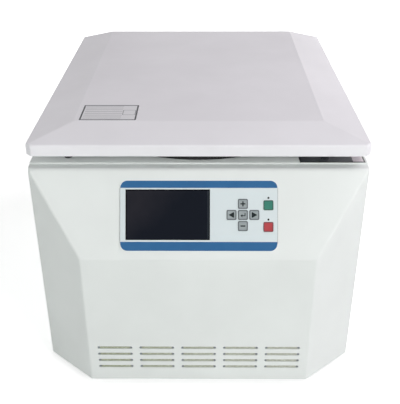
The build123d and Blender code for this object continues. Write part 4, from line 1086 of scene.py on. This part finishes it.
def makeKey(name, slotName, rim):
    # flange and stem as the solid has them, and a cap with a raised rim round a flat face
    lows, highs = slopeBox(name)
    x, y = (lows[0] + highs[0]) / 2, (lows[1] + highs[1]) / 2
    top, bottom = highs[2], lows[2]
    profile = keyProfile((highs[0] - lows[0]) / 2, top, bottom)
    loops = []
    for half, corner, height in profile:
        outline = roundedSquare(half, half, corner, keyShape["steps"])
        loops.append([onSlope(x + px, y + py, height) for px, py in outline])
    piece = addPiece(name.replace("key", "cap"), loftMesh(name + " cap", loops), name)
    # the rim takes the darker painted-shade colour, the face its own
    piece.data.materials.append(rim)
    piece.data.materials.append(materials[slotName])
    # the faces run band by band from the stem up, then the two ends
    around = len(loops[0])
    lastBand = around * (len(profile) - 2)
    ends = lastBand + around
    for face in piece.data.polygons:
        onFace = face.index == ends + 1 or lastBand <= face.index < ends
        face.material_index = 1 if onFace else 0
    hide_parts(name)
    return x, y, top - keyShape["faceDrop"]


markShape = {
    "reach": 3.3 * mm,
    "stroke": 1.6 * mm,
    "arrow": 4.6 * mm,
    "tip": 0.25 * mm,  # half width of an arrow's blunted tip
    "barCorner": 0.9,  # share of a bar's half width
    "barSteps": 3,
    "rise": 0.07 * mm,
    "sink": 0.02 * mm,
}

inkLook = {
    "dark": (0.008, 0.012, 0.013),
    "paler": (0.02, 0.028, 0.029),
    "rough": 0.55,
    "gloss": 0.12,
    "grain": 5000.0,
    "relief": 0.01 * mm,
}


def outlineMark(name, body, outline, x, y, height, material):
    # a flat mark of printed ink, standing a little over its face
    base = [onSlope(x + px, y + py, height - markShape["sink"]) for px, py in outline]
    top = [onSlope(x + px, y + py, height + markShape["rise"]) for px, py in outline]
    piece = addPiece(name, loftMesh(name, [base, top]), body)
    piece.data.materials.append(material)


def inkMaterial():
    look = inkLook
    material, tree, shader = newMaterial("key ink", Specular_IOR_Level=look["gloss"])
    grain = effect(tree, mouldGrain, Scale=look["grain"])
    ink = mixColour(tree, grain["Tone"], look["dark"], look["paler"])
    dress(tree, shader, ink, look["rough"], grain["Height"], look["relief"])
    return material


def plusOutline(reach, half):
    turns = [[(half, half), (half, reach), (-half, reach)]]
    for _ in range(3):
        turns.append([(-py, px) for px, py in turns[-1]])
    return [point for turn in turns for point in turn]


def barOutline(reach, half):
    return roundedSquare(reach, half, markShape["barCorner"] * half, markShape["barSteps"])


def arrowOutline(reach, side):
    # a triangle with slightly blunted tips, pointing to the given side
    points = [(reach * 0.75, markShape["tip"]), (-reach * 0.55, reach * 0.8), (-reach * 0.75, reach * 0.7)]
    points += [(px, -py) for px, py in reversed(points)]
    return [(side * px, py) for px, py in (points if side > 0 else reversed(points))]


def returnOutline(reach, half):
    # an angled return arrow, as one closed outline
    stem, line, head = reach - 2 * half, -0.3 * reach, -0.2 * reach
    return [(reach, reach * 0.75), (stem, reach * 0.75), (stem, line + half), (head, line + half),
            (head, reach * 0.35), (-reach, line), (head, -reach * 0.95), (head, line - half),
            (reach, line - half)]


def makeKeypad():
    look = markShape
    ink = inkMaterial()
    rimShades = {name: rimShadeMaterial(name) for name in ("key_grey", "key_green", "key_red")}
    keys = {
        # name: slot, mark
        "key_up": ("key_grey", plusOutline(look["reach"], look["stroke"] / 2)),
        "key_down": ("key_grey", barOutline(look["reach"], look["stroke"] / 2)),
        "key_left": ("key_grey", arrowOutline(look["arrow"], -1)),
        "key_right": ("key_grey", arrowOutline(look["arrow"], 1)),
        "key_enter": ("key_grey", returnOutline(look["reach"], look["stroke"] / 3)),
        "key_start": ("key_green", None),
        "key_stop": ("key_red", None),
    }
    for name, (slotName, outline) in keys.items():
        x, y, height = makeKey(name, slotName, rimShades[slotName])
        if outline:
            outlineMark(name.replace("key", "mark"), name, outline, x, y, height, ink)


makeKeypad()
print("keypad made")


# View transform

bpy.context.scene.view_settings.view_transform = "Standard"
bpy.context.view_layer.update()
